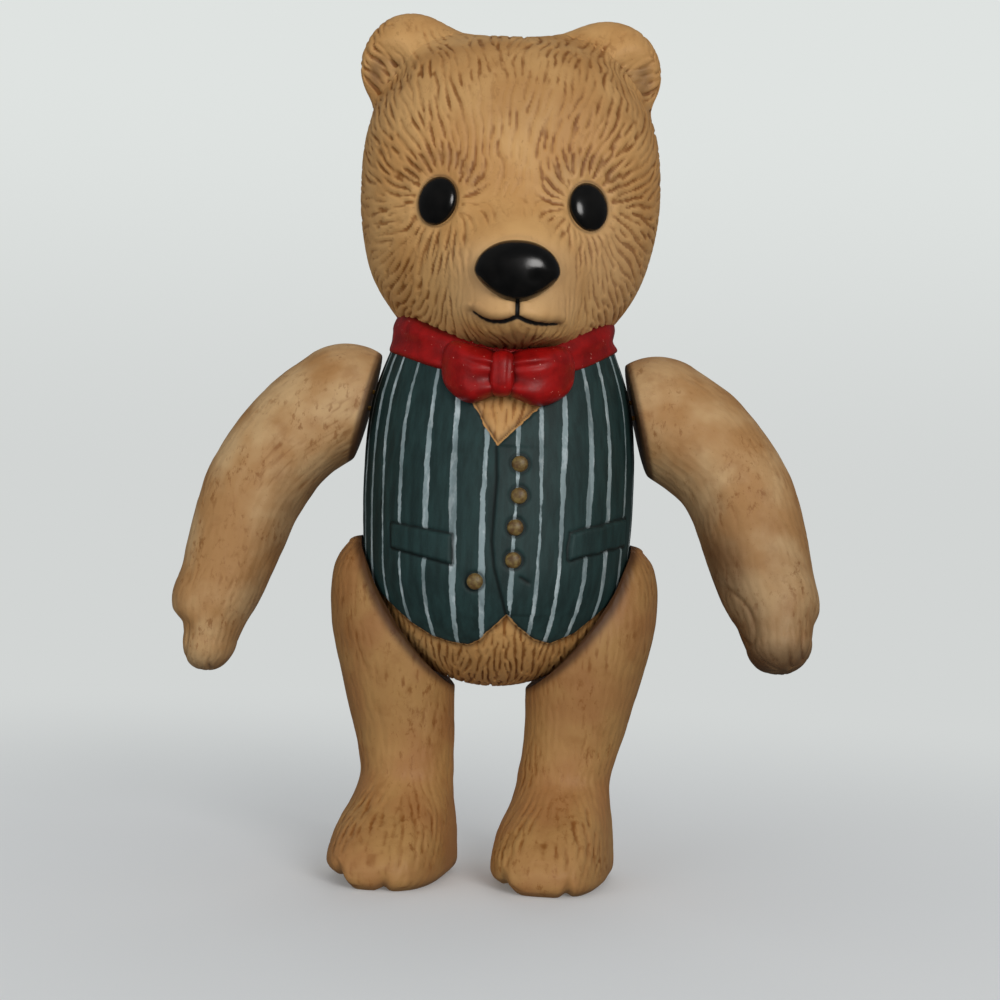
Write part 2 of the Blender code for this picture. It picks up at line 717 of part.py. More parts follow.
def arm_form(name, side, collection, inset=0.0, sides=LIMB_SIDES, material=None):
    """An arm as rings square to its middle line, its two ends rounded."""
    spine = arm_spine(side)
    places = [np.array(place) for place, _, _ in spine]
    stations = []
    first, second = places[0], places[1]
    along = (second - first) / np.linalg.norm(second - first)
    across, deep = spine[0][1], spine[0][2]
    for angle in (20, 42, 66):
        back, wide = math.cos(math.radians(angle)), math.sin(math.radians(angle))
        place = first - along * (across - inset) * back
        stations.append((place, (across - inset) * wide, (deep - inset) * wide, along))
    shoulder_tip = first - along * (across - inset)
    for k, (place, (_, across, deep)) in enumerate(zip(places, spine)):
        following = places[min(k + 1, len(places) - 1)]
        before = places[max(k - 1, 0)]
        direction = (following - before) / np.linalg.norm(following - before)
        stations.append((place, across - inset, deep - inset, direction))
    end, across, deep = places[-1], spine[-1][1] - inset, spine[-1][2] - inset
    down = stations[-1][3]
    paw_length = ARM_DROP * (1.0 - ARM_STATIONS[-1][1]) + PAW_ROUNDING - inset
    for angle in (66, 42, 20):
        onward, wide = math.cos(math.radians(angle)), math.sin(math.radians(angle))
        stations.append((end + down * paw_length * onward, across * wide, deep * wide, down))
    paw_tip = end + down * paw_length
    turn = (np.arange(sides) + (0.5 if inset else 0.0)) * 2 * math.pi / sides
    rings = []
    for place, across, deep, direction in stations:
        sideways = np.cross(direction, (0.0, 1.0, 0.0))
        sideways /= np.linalg.norm(sideways)
        rings.append(
            place
            + np.outer(np.cos(turn) * across, sideways)
            + np.outer(np.sin(turn) * deep, np.cross(sideways, direction))
        )
    return loft(name, rings, shoulder_tip, paw_tip, collection, material)


def thigh_shift(z):
    """How far out a leg's section at height z moves when the seat ball differs from its first size."""
    low, high = ANKLE_TO_HIP
    share = min(max((z - low) / (high - low), 0.0), 1.0)
    return share * (hip_seat_radius() - THIGH_SEAT_RADIUS)


def toe_scallop(angle, drop):
    """How much the toes notch the foot's front edge; angle is measured from straight ahead."""
    fan = np.radians(52.0)
    inside = np.clip(1 - np.abs(angle) / fan, 0.0, 1.0)
    wave = 0.5 - 0.5 * np.cos(2 * np.pi * TOE_COUNT * (angle + fan) / (2 * fan))
    return TOE_DEPTH * drop * (1 - wave) * np.minimum(inside * 6, 1.0)


def leg_form(name, side, collection, inset=0.0, sides=LIMB_SIDES, material=None):
    """A leg and foot as level rings, from the rounded top of the thigh down to the flat sole."""
    rings = []
    angle = (np.arange(sides) + (0.5 if inset else 0.0)) * 2 * math.pi / sides
    stations = LEG_STATIONS + ((0.0, ANKLE_X, SOLE_HALF_WIDTH, SOLE_FRONT, SOLE_BACK),)
    for z, x, across, front, back in stations:
        x += thigh_shift(z)
        if inset and (min(across, front, back) < inset + 0.8 or z < inset):
            continue
        deep = np.where(np.sin(angle) < 0, front - inset, back - inset)
        foot = min(max((12.0 - z) / 6.0, 0.0), 1.0)
        power = 2.0 / (2.0 + (FOOT_SQUARENESS - 2.0) * foot * (np.sin(angle) < 0))
        points_x = (across - inset) * np.sign(np.cos(angle)) * np.abs(np.cos(angle)) ** power
        points_y = deep * np.sign(np.sin(angle)) * np.abs(np.sin(angle)) ** power
        if not inset and front > 12.0:
            ahead = np.arctan2(np.cos(angle), -np.sin(angle))
            points_y = points_y + toe_scallop(ahead, min((front - 12.0) / 4, 1.0))
        turn = math.radians(-TOE_TURN) * min(max((12.0 - z) / 5.0, 0.0), 1.0)
        turned_x = points_x * math.cos(turn) - points_y * math.sin(turn)
        turned_y = points_x * math.sin(turn) + points_y * math.cos(turn)
        rings.append(
            np.column_stack((side * x + turned_x, BODY_AXIS_Y + turned_y, np.full(sides, z)))
        )
    if inset:
        out = LEG_STATIONS[2][1] + thigh_shift(ANKLE_TO_HIP[1])
        top = (side * out, BODY_AXIS_Y, float(rings[0][0][2]) + 0.8)
    else:
        top = (side * (LEG_STATIONS[0][1] + thigh_shift(LEG_TOP_Z)), BODY_AXIS_Y, LEG_TOP_Z)
    return loft(name, rings, top, None, collection, material)


def seat_plane_cutter(name, side, collection, extra=0.0):
    """All that lies on the body's side of an arm's flat seat."""
    joint, axis = shoulder_joint(side)
    depth = 30.0
    bm = bmesh.new()
    bmesh.ops.create_cube(bm, size=1.0)
    bmesh.ops.scale(bm, vec=(depth * MM, 60 * MM, 60 * MM), verts=bm.verts)
    bmesh.ops.translate(bm, vec=((extra - depth / 2) * MM, 0, 0), verts=bm.verts)
    turn = Vector((1, 0, 0)).rotation_difference(axis).to_matrix().to_4x4()
    bmesh.ops.transform(bm, matrix=Matrix.Translation(joint * MM) @ turn, verts=bm.verts)
    mesh = bpy.data.meshes.new(name)
    bm.to_mesh(mesh)
    bm.free()
    return as_cutter(add_object(name, mesh, collection))


def seat_ball_cutter(name, collection, extra=0.0):
    """The ball on which a thigh turns."""
    radius = hip_seat_radius() + extra
    return as_cutter(ball(name, (0, BODY_AXIS_Y, BALL_Z), (radius,) * 3, collection, 48, 32))


def wire_eye(name, joint, axis, collection, material):
    """A bent wire: two legs set in the limb and a round bend that stands out towards the body."""
    sideways = axis.cross(Vector((0, 1, 0))).normalized()
    points = [joint + axis * EYE_SET_IN + sideways * EYE_HALF_GAUGE]
    middle = joint - axis * (EYE_STANDS_OUT - EYE_HALF_GAUGE)
    for k in range(9):
        angle = math.pi * k / 8
        bend = sideways * math.cos(angle) - axis * math.sin(angle)
        points.append(middle + bend * EYE_HALF_GAUGE)
    points.append(joint + axis * EYE_SET_IN - sideways * EYE_HALF_GAUGE)
    return round_wire(name, points, WIRE_RADIUS, collection, material)


def round_wire(name, points, radius, collection, material, closed=False):
    curve = bpy.data.curves.new(name, "CURVE")
    curve.dimensions = "3D"
    curve.bevel_depth = radius * MM
    curve.bevel_resolution = 2
    curve.use_fill_caps = True
    spline = curve.splines.new("POLY")
    spline.points.add(len(points) - 1)
    for point, place in zip(spline.points, points):
        point.co = (*(Vector(place) * MM), 1)
    spline.use_cyclic_u = closed
    guide = bpy.data.objects.new(name + "_guide", curve)
    collection.objects.link(guide)
    return curve_to_mesh(guide, name, collection, material)


def plug(name, joint, axis, collection, cutters, material):
    """A plaster plug with two holes for the legs of the wire eye."""
    start, end = joint + axis * PLUG_RECESS, joint + axis * (PLUG_RECESS + PLUG_LENGTH)
    obj = rod(name, start, end, PLUG_RADIUS, collection, material=material)
    sideways = axis.cross(Vector((0, 1, 0))).normalized()
    for sign in (-1, 1):
        hole = rod(
            f"{name}_hole_{sign}",
            start - axis + sideways * sign * EYE_HALF_GAUGE,
            joint + axis * (EYE_SET_IN + WIRE_CLEARANCE) + sideways * sign * EYE_HALF_GAUGE,
            WIRE_RADIUS + WIRE_CLEARANCE,
            cutters,
            12,
        )
        boolean(obj, as_cutter(hole), "DIFFERENCE")
    return obj


def elastic_route(joints):
    """The points of one closed loop of elastic: round the bend of each wire eye and straight across."""
    turn_radius = WIRE_RADIUS + ELASTIC_RADIUS + ELASTIC_CLEARANCE
    ends = []
    for joint, axis in joints:
        hook = joint - axis * EYE_STANDS_OUT
        end = []
        for k in range(9):
            angle = math.pi * k / 8
            bend = Vector((0, -math.cos(angle), 0)) + axis * math.sin(angle)
            end.append(hook + bend * turn_radius)
        ends.append(end)
    right, left = ends
    middle_z = (right[0].z + left[0].z) / 2
    route = []
    for end, other in ((left, right), (right[::-1], left)):
        route += end
        for share in (0.12, 0.5, 0.88):
            point = end[-1].lerp(other[0] if end is left else other[-1], share)
            point.y = end[-1].y
            point.z = middle_z if 0.1 < share < 0.9 else point.z
            route.append(point)
    return route


def build_bear():
    clear_scene()
    bear = make_collection("jointed_porcelain_bear")
    cutters = make_collection("cutters_and_guides")
    bisque = plain_material("painted bisque body", (0.50, 0.28, 0.12), 0.6)
    limb_bisque = plain_material("washed bisque limb", (0.52, 0.29, 0.13), 0.6)
    brass = plain_material("brass wire", (0.72, 0.50, 0.20), 0.35, 1.0)
    plaster = plain_material("cast plaster", (0.85, 0.83, 0.78), 0.9)
    rubber = plain_material("covered elastic", (0.90, 0.89, 0.86), 0.8)
    aluminium = plain_material("pressed aluminium", (0.80, 0.80, 0.82), 0.4, 1.0)

    body = torso_form("body_casting", bear, material=bisque)
    head = as_cutter(head_form("head", cutters))
    for form in (head, *ear_forms(cutters), vest_form(cutters), collar_form(cutters)):
        boolean(body, form, "UNION")
    for form in (*bow_forms(cutters), *face_forms(cutters), *trim_forms(cutters)):
        boolean(body, form, "UNION")
    cavity = torso_form("body_cavity", cutters, grow=-BODY_WALL, top_z=NECK_Z + 6.0, sides=CAVITY_SIDES)
    head_cavity = as_cutter(head_form("head_cavity", cutters, BODY_WALL, CAVITY_SIDES, 12))
    boolean(cavity, head_cavity, "UNION")
    boolean(body, as_cutter(cavity), "DIFFERENCE")
    vent = rod("vent", (0, BODY_AXIS_Y, 0), (0, BODY_AXIS_Y, BALL_Z), VENT_RADIUS, cutters)
    boolean(body, as_cutter(vent), "DIFFERENCE")

    shoulder_joints, hip_joints = [], []
    for side, label in ((-1, "right"), (1, "left")):
        for kind, find_joint in (("shoulder", shoulder_joint), ("hip", hip_joint)):
            joint, axis = find_joint(side)
            inner_end = joint - axis * STRINGING_HOLE_DEPTH
            hole = rod(f"{label}_{kind}_hole", joint + axis, inner_end, STRINGING_HOLE_RADIUS, cutters)
            boolean(body, as_cutter(hole), "DIFFERENCE")
        shoulder_joints.append(shoulder_joint(side))
        hip_joints.append(hip_joint(side))

    for side, label in ((-1, "right"), (1, "left")):
        swing = LEFT_ARM_SWING if side > 0 else RIGHT_ARM_SWING
        joint, axis = shoulder_joint(side)
        arm = arm_form(f"{label}_arm", side, bear, material=limb_bisque)
        boolean(arm, seat_plane_cutter(f"{label}_arm_seat", side, cutters), "DIFFERENCE")
        hollow = arm_form(f"{label}_arm_cavity", side, cutters, LIMB_WALL, CAVITY_SIDES)
        wall_plane = seat_plane_cutter(f"{label}_arm_wall", side, cutters, LIMB_WALL)
        boolean(hollow, wall_plane, "DIFFERENCE")
        boolean(arm, as_cutter(hollow), "DIFFERENCE")
        finish_limb(label, "arm", arm, joint, axis, swing, (bear, cutters, brass, plaster))

        joint, axis = hip_joint(side)
        leg = leg_form(f"{label}_leg", side, bear, material=limb_bisque)
        boolean(leg, seat_ball_cutter(f"{label}_leg_seat", cutters), "DIFFERENCE")
        hollow = leg_form(f"{label}_leg_cavity", side, cutters, LIMB_WALL, CAVITY_SIDES)
        boolean(hollow, seat_ball_cutter(f"{label}_leg_wall", cutters, LIMB_WALL), "DIFFERENCE")
        boolean(leg, as_cutter(hollow), "DIFFERENCE")
        finish_limb(label, "leg", leg, joint, axis, 0.0, (bear, cutters, brass, plaster))

    for kind, joints in (("shoulder", shoulder_joints), ("hip", hip_joints)):
        route = elastic_route(joints)
        round_wire(f"{kind}_elastic", route, ELASTIC_RADIUS, bear, rubber, closed=True)
        add_crimp(kind, route, bear, cutters, aluminium)


def add_crimp(kind, route, bear, cutters, material):
    """The sleeve that closes a loop of elastic, on the strand nearer the bear's back."""
    rear = max(point.y for point in route)
    level = [point for point in route if abs(point.x) < 2.0 and point.y > rear - 0.6][0]
    half = Vector((CRIMP_LENGTH / 2, 0, 0))
    inner = ELASTIC_RADIUS + CRIMP_CLEARANCE
    crimp = rod(f"{kind}_crimp", level - half, level + half, inner + CRIMP_WALL, bear, 16, material)
    bore = rod(f"{kind}_crimp_bore", level - half * 2, level + half * 2, inner, cutters, 16)
    boolean(crimp, as_cutter(bore), "DIFFERENCE")


def hang_on(hinge, piece, joint):
    """Hangs a piece, and all that cuts it, on a joint's empty."""
    piece.parent = hinge
    piece.matrix_parent_inverse = Matrix.Translation(-joint * MM)
    for modifier in piece.modifiers:
        if modifier.type == "BOOLEAN":
            hang_on(hinge, modifier.object, joint)


def finish_limb(label, kind, limb, joint, axis, swing, supplies):
    """Drills the limb for its plug, adds plug and wire eye, and hangs all three on the joint's empty."""
    bear, cutters, brass, plaster = supplies
    socket = rod(
        f"{label}_{kind}_socket",
        joint - axis * 1.0,
        joint + axis * (PLUG_RECESS + PLUG_LENGTH + 0.3),
        PLUG_RADIUS + PLUG_CLEARANCE,
        cutters,
    )
    boolean(limb, as_cutter(socket), "DIFFERENCE")
    pieces = [
        limb,
        plug(f"{label}_{kind}_plug", joint, axis, bear, cutters, plaster),
        wire_eye(f"{label}_{kind}_wire_eye", joint, axis, bear, brass),
    ]
    hinge = bpy.data.objects.new(f"{label}_{kind}_joint", None)
    bear.objects.link(hinge)
    hinge.location = joint * MM
    forward = Matrix.Rotation(math.radians(-swing if axis.x > 0 else swing), 4, axis)
    hinge.matrix_world = Matrix.Translation(joint * MM) @ forward
    for piece in pieces:
        hang_on(hinge, piece, joint)


build_bear()
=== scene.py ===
"""Looks of the jointed porcelain bear: carved and washed bisque fur, painted waistcoat, collar and bow tie.

Sizes are in millimetres until a mesh is made. The bear faces -Y, its own left side is +X, and depths are
measured from the body's upright axis, as in the CAD model that this file dresses.
"""

import json
import math

import bmesh
import bpy
import numpy as np
from mathutils import Matrix, Vector


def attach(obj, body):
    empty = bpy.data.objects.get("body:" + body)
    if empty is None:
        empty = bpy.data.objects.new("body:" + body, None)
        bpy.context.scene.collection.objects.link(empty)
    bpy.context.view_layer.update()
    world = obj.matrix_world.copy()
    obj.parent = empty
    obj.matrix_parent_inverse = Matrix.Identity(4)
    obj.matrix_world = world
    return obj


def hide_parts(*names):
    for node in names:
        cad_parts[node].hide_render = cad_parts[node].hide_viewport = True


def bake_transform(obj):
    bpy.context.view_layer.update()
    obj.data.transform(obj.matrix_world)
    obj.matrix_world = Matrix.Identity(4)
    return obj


bl_info = {
    "name": "Jointed Porcelain Bear",
    "version": (1, 0, 0),
    "blender": (4, 5, 0),
    "location": "3D View > Sidebar > Bear",
    "description": "Builds the finished surfaces and paint of a jointed porcelain bear on its CAD frame",
    "category": "Object",
}

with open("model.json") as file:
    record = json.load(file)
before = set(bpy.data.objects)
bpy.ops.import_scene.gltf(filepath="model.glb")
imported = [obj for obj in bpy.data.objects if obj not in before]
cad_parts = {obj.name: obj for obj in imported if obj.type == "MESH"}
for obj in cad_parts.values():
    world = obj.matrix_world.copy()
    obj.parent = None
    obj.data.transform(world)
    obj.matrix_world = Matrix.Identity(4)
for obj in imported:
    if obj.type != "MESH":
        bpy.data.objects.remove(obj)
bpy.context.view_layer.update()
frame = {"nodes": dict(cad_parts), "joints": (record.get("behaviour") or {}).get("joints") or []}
MM = 0.001
# Stands for a distance in millimetres that no mark or groove reaches.
FAR = 9.0
# Side -1 is the bear's own right, at the left of the photo.
SIDES = ((-1, "right"), (1, "left"))
# The body's upright axis passes through the shoulder joints.
AXIS_Y = 1000 * frame["joints"][0]["pos_m"][1]

# Torso, as in the CAD model: a ball below, then its half-width by height, and its depths as shares of that.
BALL_RADIUS = 16.4
BALL_Z = 39.9
TORSO_HEIGHTS = (39.0, 48.0, 59.0, 69.5)
TORSO_HALF_WIDTHS = (math.sqrt(BALL_RADIUS**2 - 0.9**2), 16.75, 16.0, 12.4)
TORSO_FRONTS = (15.4 / 16.4, 15.0 / 16.75, 12.8 / 16.0, 11.2 / 12.4)
TORSO_BACKS = (13.6 / 16.4, 13.2 / 16.75, 11.8 / 16.0, 10.6 / 12.4)

# Head, as in the CAD model.
HEAD_Z = 85.6
HEAD_HALF_WIDTH = 18.8
HEAD_FRONT = 15.6
HEAD_BACK = 15.4
HEAD_UP = 19.5
HEAD_DOWN = 21.8
BROW_BOXINESS = 2.5
CHEEK_BOXINESS = 2.25
BOXINESS_BLEND = 0.35
MUZZLE_OUT = 7.4
MUZZLE_X = 1.0
MUZZLE_Z = 72.2
MUZZLE_HALF_WIDTH = 9.2
MUZZLE_HALF_HEIGHT = 8.2
MUZZLE_FLATNESS = 2.8
MUZZLE_SPREAD = 2.2
CHIN_X = 1.9
CHIN_Z = 66.8
CHIN_OUT = 4.6
CHIN_HALF_WIDTH = 6.2
CHIN_HALF_HEIGHT = 3.4
EYE_Z = 82.4
EYE_CENTRES = (-8.65, 9.45)
EYE_HALF_WIDTH = 2.35
EYE_HALF_HEIGHT = 2.95
EYE_HALF_DEPTH = 1.35
EYE_LEAN = math.radians(8)
EYE_HOLLOW_DEPTH = 0.30
EYE_RIM_HEIGHT = 0.12
NOSE_X = 1.2
NOSE_Z = 73.7
NOSE_HALF_WIDTH = 5.05
NOSE_HALF_HEIGHT = 3.65
NOSE_HALF_DEPTH = 3.0
MOUTH_XS = (-3.9, -2.6, -1.2, 0.2, 1.4, 2.6, 3.9, 5.2, 6.3)
MOUTH_ZS = (69.0, 68.1, 67.7, 67.8, 68.3, 67.9, 67.7, 67.75, 67.95)
PHILTRUM_LINE = ((1.36, 70.9), (1.4, 68.3))
MOUTH_DEPTH = 0.34
LIP_HEIGHT = 0.22
BRIDGE_HEIGHT = 0.5
# The two pads of the muzzle beside the mouth: side offset and height.
MUZZLE_PADS = ((-1.6, 0.45), (4.2, 0.405))
MUZZLE_PADS_Z = 69.9
NOSTRIL_DEPTH = 0.30
NOSTRIL_PLACE = (2.5, -1.1)
NOSTRIL_HALF_SIZES = (1.1, 0.9)

# Waistcoat outline in front view: V neck, front points, hem.
VEST_BACK_HEM = 36.6
VEST_NECK = ((-24.0, 76.0), (-4.2, 66.0), (-3.5, 58.6), (-2.0, 55.9), (-0.3, 53.5), (2.2, 56.0), (5.1, 58.8))
VEST_LEFT_FRONT = (
    (5.6, 66.0),
    (24.0, 76.0),
    (24.0, VEST_BACK_HEM),
    (16.3, VEST_BACK_HEM),
    (15.2, 35.9),
    (12.7, 33.6),
    (9.9, 31.2),
    (6.9, 29.9),
    (5.1, 30.4),
    (3.1, 31.9),
    (1.6, 33.4),
)
VEST_RIGHT_FRONT = (
    (0.5, 32.3),
    (-0.7, 31.2),
    (-1.6, 30.1),
    (-2.9, 29.5),
    (-5.0, 29.7),
    (-7.3, 30.3),
    (-9.8, 31.7),
    (-11.6, 33.1),
    (-14.3, 35.4),
    (-16.0, VEST_BACK_HEM),
    (-24.0, VEST_BACK_HEM),
)
VEST_OUTLINE = VEST_NECK + VEST_LEFT_FRONT + VEST_RIGHT_FRONT
OVERLAP_LINE = ((-0.3, 53.4), (-0.1, 49.4), (-0.4, 42.1), (0.0, 38.9), (1.1, 35.2), (1.6, 33.4))
LEFT_WELT = ((8.8, 43.3), (15.5, 45.2), (15.4, 42.0), (8.7, 40.2))
RIGHT_WELT = ((-12.6, 43.6), (-5.3, 42.6), (-5.2, 39.2), (-12.4, 40.8))
# Where the painted stripes stand round the body, in degrees from straight ahead towards its left.
STRIPE_ANGLES = (-66.0, -56.0, -44.0, -31.0, -18.5, -5.5, 7.0, 17.4, 27.6, 40.5, 52.5, 67.0)
STRIPE_PITCH_BEHIND = 12.1
BUTTONS = ((2.45, 51.4), (2.5, 47.6), (2.2, 43.8), (2.1, 39.9), (-2.35, 37.2))
BUTTON_RADIUS = 1.0
BUTTON_DOME = 0.52
BUTTONHOLE = ((3.0, 37.9), (4.0, 37.3))
# Relief of the waistcoat: how high the front edge laps and the welts stand, and how deep the grooves round
# them, the groove round each button and the buttonhole are.
LAP_HEIGHT = 0.24
WELT_HEIGHT = 0.34
WELT_GROOVE = 0.16
BUTTON_GROOVE = 0.2
BUTTONHOLE_DEPTH = 0.22

# Collar band and bow tie.
COLLAR_Z = 67.6
COLLAR_HALF_HEIGHT = 2.35
COLLAR_THICKNESS = 1.5
COLLAR_DIP_FRONT = 3.6
COLLAR_RISE_BACK = 0.8
COLLAR_SUNK = 0.35
BOW_X = -0.1
BOW_Z = 62.1
BOW_LENGTHS = {-1: 7.1, 1: 8.5}
BOW_ENDS_Z = {-1: 63.1, 1: 62.8}
BOW_OUT = 13.7
KNOT_OUT = 14.3
KNOT_HALF_SIZES = (1.65, 2.6, 2.75)

# The vent's pit under the body: how far its two rings lie above the rim.
VENT_PIT = (3.5, 0.35)
# The ball's skin runs between these angles from straight below, in degrees.
BALL_SPAN = (5.4, 86.0)

# How many rows and columns of points each surface has.
TORSO_COLUMNS = 375
BALL_ROWS = 112
UPPER_ROWS = 146
HEAD_COLUMNS = 371
HEAD_ROWS = 262
EAR_COLUMNS = 200
EAR_ROWS = 160
ARM_COLUMNS = 150
ARM_ROWS = 150
ARM_END_ROWS = 40
LEG_COLUMNS = 180
LEG_ROWS = (17, 167, 26)
# Heights where the spacing of the leg's rows changes.
LEG_ROW_LEVELS = (2.4, 38.0)
SOLE_ROWS = 22
THIGH_DOME_ROWS = 16

# Stringing, as in the CAD model, and the half loops of elastic between the crimps and the wire eyes.
EYE_STANDS_OUT = 3.0
CRIMP_LENGTH = 3.6
ELASTIC_SLACK = 0.7
ELASTIC_GAP = 0.01
ELASTIC_RINGS = 11

# Where the head's hair starts, between the eyes: side offset, depth behind the axis and height. Then the
# unevenness of the head and the ears: its height, its cell and its seed.
HAIR_START = (0.4, -15.0, 82.0)
HEAD_LUMPS = (0.25, 5.0, 8)
# The soft strokes on arms and legs: how far apart they are, and how far each runs either way.
LIMB_STROKE_PITCH = 0.9
LIMB_STROKE_REACH = 1.1

# Ears: thick pads that spread into the head's corners, each hollowed low on its outer front.
EAR_XS = {-1: -12.5, 1: 11.8}
EAR_ZS = {-1: 100.9, 1: 100.8}
EAR_FORWARD = 1.6
EAR_LEAN = math.radians(50)
EAR_RADII = {-1: 6.9, 1: 6.5}
EAR_ROOT_PLACES = (-10.0, -8.0, -6.0, -4.0, -2.0, 0.0)
EAR_INNER_SHARES = (1.80, 1.53, 1.30, 1.14, 1.05, 1.0)
EAR_OUTER_SHARES = (0.72, 0.81, 0.91, 0.97, 1.0, 1.0)
EAR_ROOT_DEPTHS = (7.6, 6.4, 5.4, 4.6, 4.1, 3.7)
EAR_END = -8.0
EAR_ROOT_LENGTH = 9.5
EAR_INNER_SPREAD = {-1: 0.92, 1: 1.08}
EAR_BOXINESS = 2.3
EAR_FILLET = 3.6
HOLLOW_SHIFTS = {-1: (-3.5, -1.4), 1: (3.3, -1.2)}
HOLLOW_HALF_WIDTH = 3.2
HOLLOW_HALF_HEIGHT = 3.7
HOLLOW_DEPTH = 1.15
PAD_SHIFTS = {-1: (-2.0, 2.6), 1: (2.2, 2.5)}
PAD_HALF_WIDTH = 3.4
PAD_HALF_HEIGHT = 2.7
PAD_OUT = 0.8

# Arms, as in the CAD model: shares of reach and drop from the joint, half-width across, half-depth.
SHOULDER_TILT = math.radians(13)
ARM_REACH = 20.0
ARM_DROP = 34.6
ARM_FORWARD = 2.0
ARM_SHARES = np.array(
    (
        (0.150, 0.029, 8.0, 6.9),
        (0.380, 0.118, 7.6, 6.8),
        (0.570, 0.223, 6.8, 6.5),
        (0.705, 0.350, 6.4, 6.2),
        (0.790, 0.491, 6.0, 5.9),
        (0.870, 0.647, 5.5, 5.6),
        (0.940, 0.765, 4.9, 5.5),
        (0.970, 0.884, 3.8, 4.7),
    )
)
PAW_LENGTH = ARM_DROP * (1 - ARM_SHARES[-1, 1])
# What sets the two arms apart: paw longer by, lower arm broader by and shifted inwards by, heel, step in
# below the heel, and how far the underside is tucked in beside the seat.
PAW_LONGER = {-1: 0.2, 1: -0.5}
LOWER_ARM_BROADER = {-1: 0.0, 1: 0.45}
LOWER_ARM_INWARDS = {-1: 0.15, 1: 0.8}
PAW_HEEL = {-1: 0.35, 1: 0.0}
PAW_STEP = {-1: 1.0, 1: 0.5}
SEAT_TUCK = {-1: 1.7, 1: 0.7}
# Finger lines on each paw: how far inwards from its middle, and how far up from its tip.
FINGER_LINES = {-1: ((-2.3, 6.5), (1.3, 2.2)), 1: ((-0.6, 3.0), (-2.4, 4.2))}
FINGER_DEPTH = 0.28
THUMB_LINE_DEPTH = 0.22
SEAT_ROUNDING = 0.35
# In the photo the bear's left arm is further forwards than its right arm.
REST_SWING = {-1: 0.0, 1: math.radians(20)}

# Legs, as in the CAD model: height, side offset, half-width, front depth, back depth.
LEG_RINGS = np.array(
    (
        (0.0, 9.9, 6.2, 15.8, 6.2),
        (0.7, 9.9, 7.0, 16.8, 6.9),
        (2.2, 9.9, 7.3, 17.2, 7.2),
        (4.5, 9.9, 7.1, 16.0, 7.2),
        (7.0, 9.9, 6.7, 13.0, 6.8),
        (9.5, 9.9, 6.2, 9.2, 6.4),
        (12.0, 9.9, 5.9, 6.6, 6.4),
        (15.0, 10.3, 6.0, 6.2, 6.6),
        (20.0, 11.1, 6.6, 6.9, 7.2),
        (25.0, 11.7, 7.3, 8.0, 8.0),
        (30.0, 12.3, 7.9, 8.5, 8.3),
        (34.0, 13.2, 7.4, 8.0, 7.7),
        (37.0, 14.3, 6.2, 6.8, 6.6),
        (39.5, 15.6, 4.1, 5.0, 4.8),
        (41.0, 16.5, 2.0, 2.4, 2.4),
    )
)
LEG_TOP = (16.6, 41.8)
FOOT_SQUARENESS = 2.9
TOE_TURN = math.radians(-9)
# Each foot: where its toe lines stand across it, how far the toe nearest the bear's right stands clear of
# the ground, and how far that toe reaches out.
TOE_LINES = {-1: (-0.52, 0.16), 1: (-0.58, 0.45)}
TOE_LIFTS = {-1: 1.3, 1: 0.7}
TOE_REACHES = {-1: 0.9, 1: 0.6}
TUFT_DEPTH = 0.14
TOE_LINE_DEPTH = 0.16
TOE_LINE_DEPTH_AT_SOLE = 0.45
# Height where the foot ends and the shin begins.
FOOT_TOP = 12.0
# The thighs' seat on the ball leaves room for the waistcoat and a running gap.
VEST_THICKNESS = 0.3
BALL_SEAT_GAP = 0.4
SEAT_RADIUS = BALL_RADIUS + VEST_THICKNESS + BALL_SEAT_GAP
THIGH_SEAT_ROUNDING = 0.25

# The floor's half-size in metres, and the backdrop from the floor's far edge upwards.
FLOOR_REACH = 4.0
BACKDROP_LOW = "#d2d5d4"
BACKDROP_HIGH = "#dfe3e1"

# The camera, in metres: its distance from the body's axis, the width that it takes in there, its place
# across and up, and its roll, which is the photo's.
CAMERA_AWAY = 0.260
CAMERA_WIDTH = 0.1265
CAMERA_PLACE = (0.00025, 0.0470)
CAMERA_ROLL = math.radians(2.3)

# Lamps: name, place and target in metres, size in metres, watts, colour.
LAMPS = (
    ("key lamp", (0.24, -0.58, 0.24), (0, 0, 0.055), 0.30, 1.95, (1.0, 0.975, 0.95)),
    ("fill lamp", (-0.50, -0.64, 0.05), (0, 0, 0.065), 0.60, 2.5, (0.96, 0.98, 1.0)),
    ("back lamp", (0.10, 0.72, 0.30), (0, 0, 0.055), 0.60, 1.5, (1.0, 0.99, 0.97)),
)


# Sizes and colours that the panel shows


def linear(hex_colour):
    """Turns an sRGB hex colour into linear light."""
    parts = [int(hex_colour[i : i + 2], 16) / 255 for i in (1, 3, 5)]
    return tuple(c / 12.92 if c <= 0.04045 else ((c + 0.055) / 1.055) ** 2.4 for c in parts)


def length_property(name, description, metres):
    return bpy.props.FloatProperty(name=name, description=description, default=metres, unit="LENGTH")


def colour_property(name, description, hex_colour):
    return bpy.props.FloatVectorProperty(
        name=name, description=description, subtype="COLOR", size=3, min=0, max=1, default=linear(hex_colour)
    )


class BearSizes(bpy.types.PropertyGroup):
    """Sizes of the carving and of the painted pattern."""

    fur_pitch: length_property("Fur pitch", "Distance between carved hair lines", 0.00092)
    fur_depth: length_property("Fur depth", "Depth of the carved hair lines on the head", 0.00023)
    limb_stroke_depth: length_property("Limb strokes", "Depth of the soft strokes on arms and legs", 0.00006)
    vest_relief: length_property("Waistcoat relief", "How far the waistcoat stands off the fur", 0.00030)
    stripe_width: length_property("Stripe width", "Middling width of a painted stripe", 0.00058)


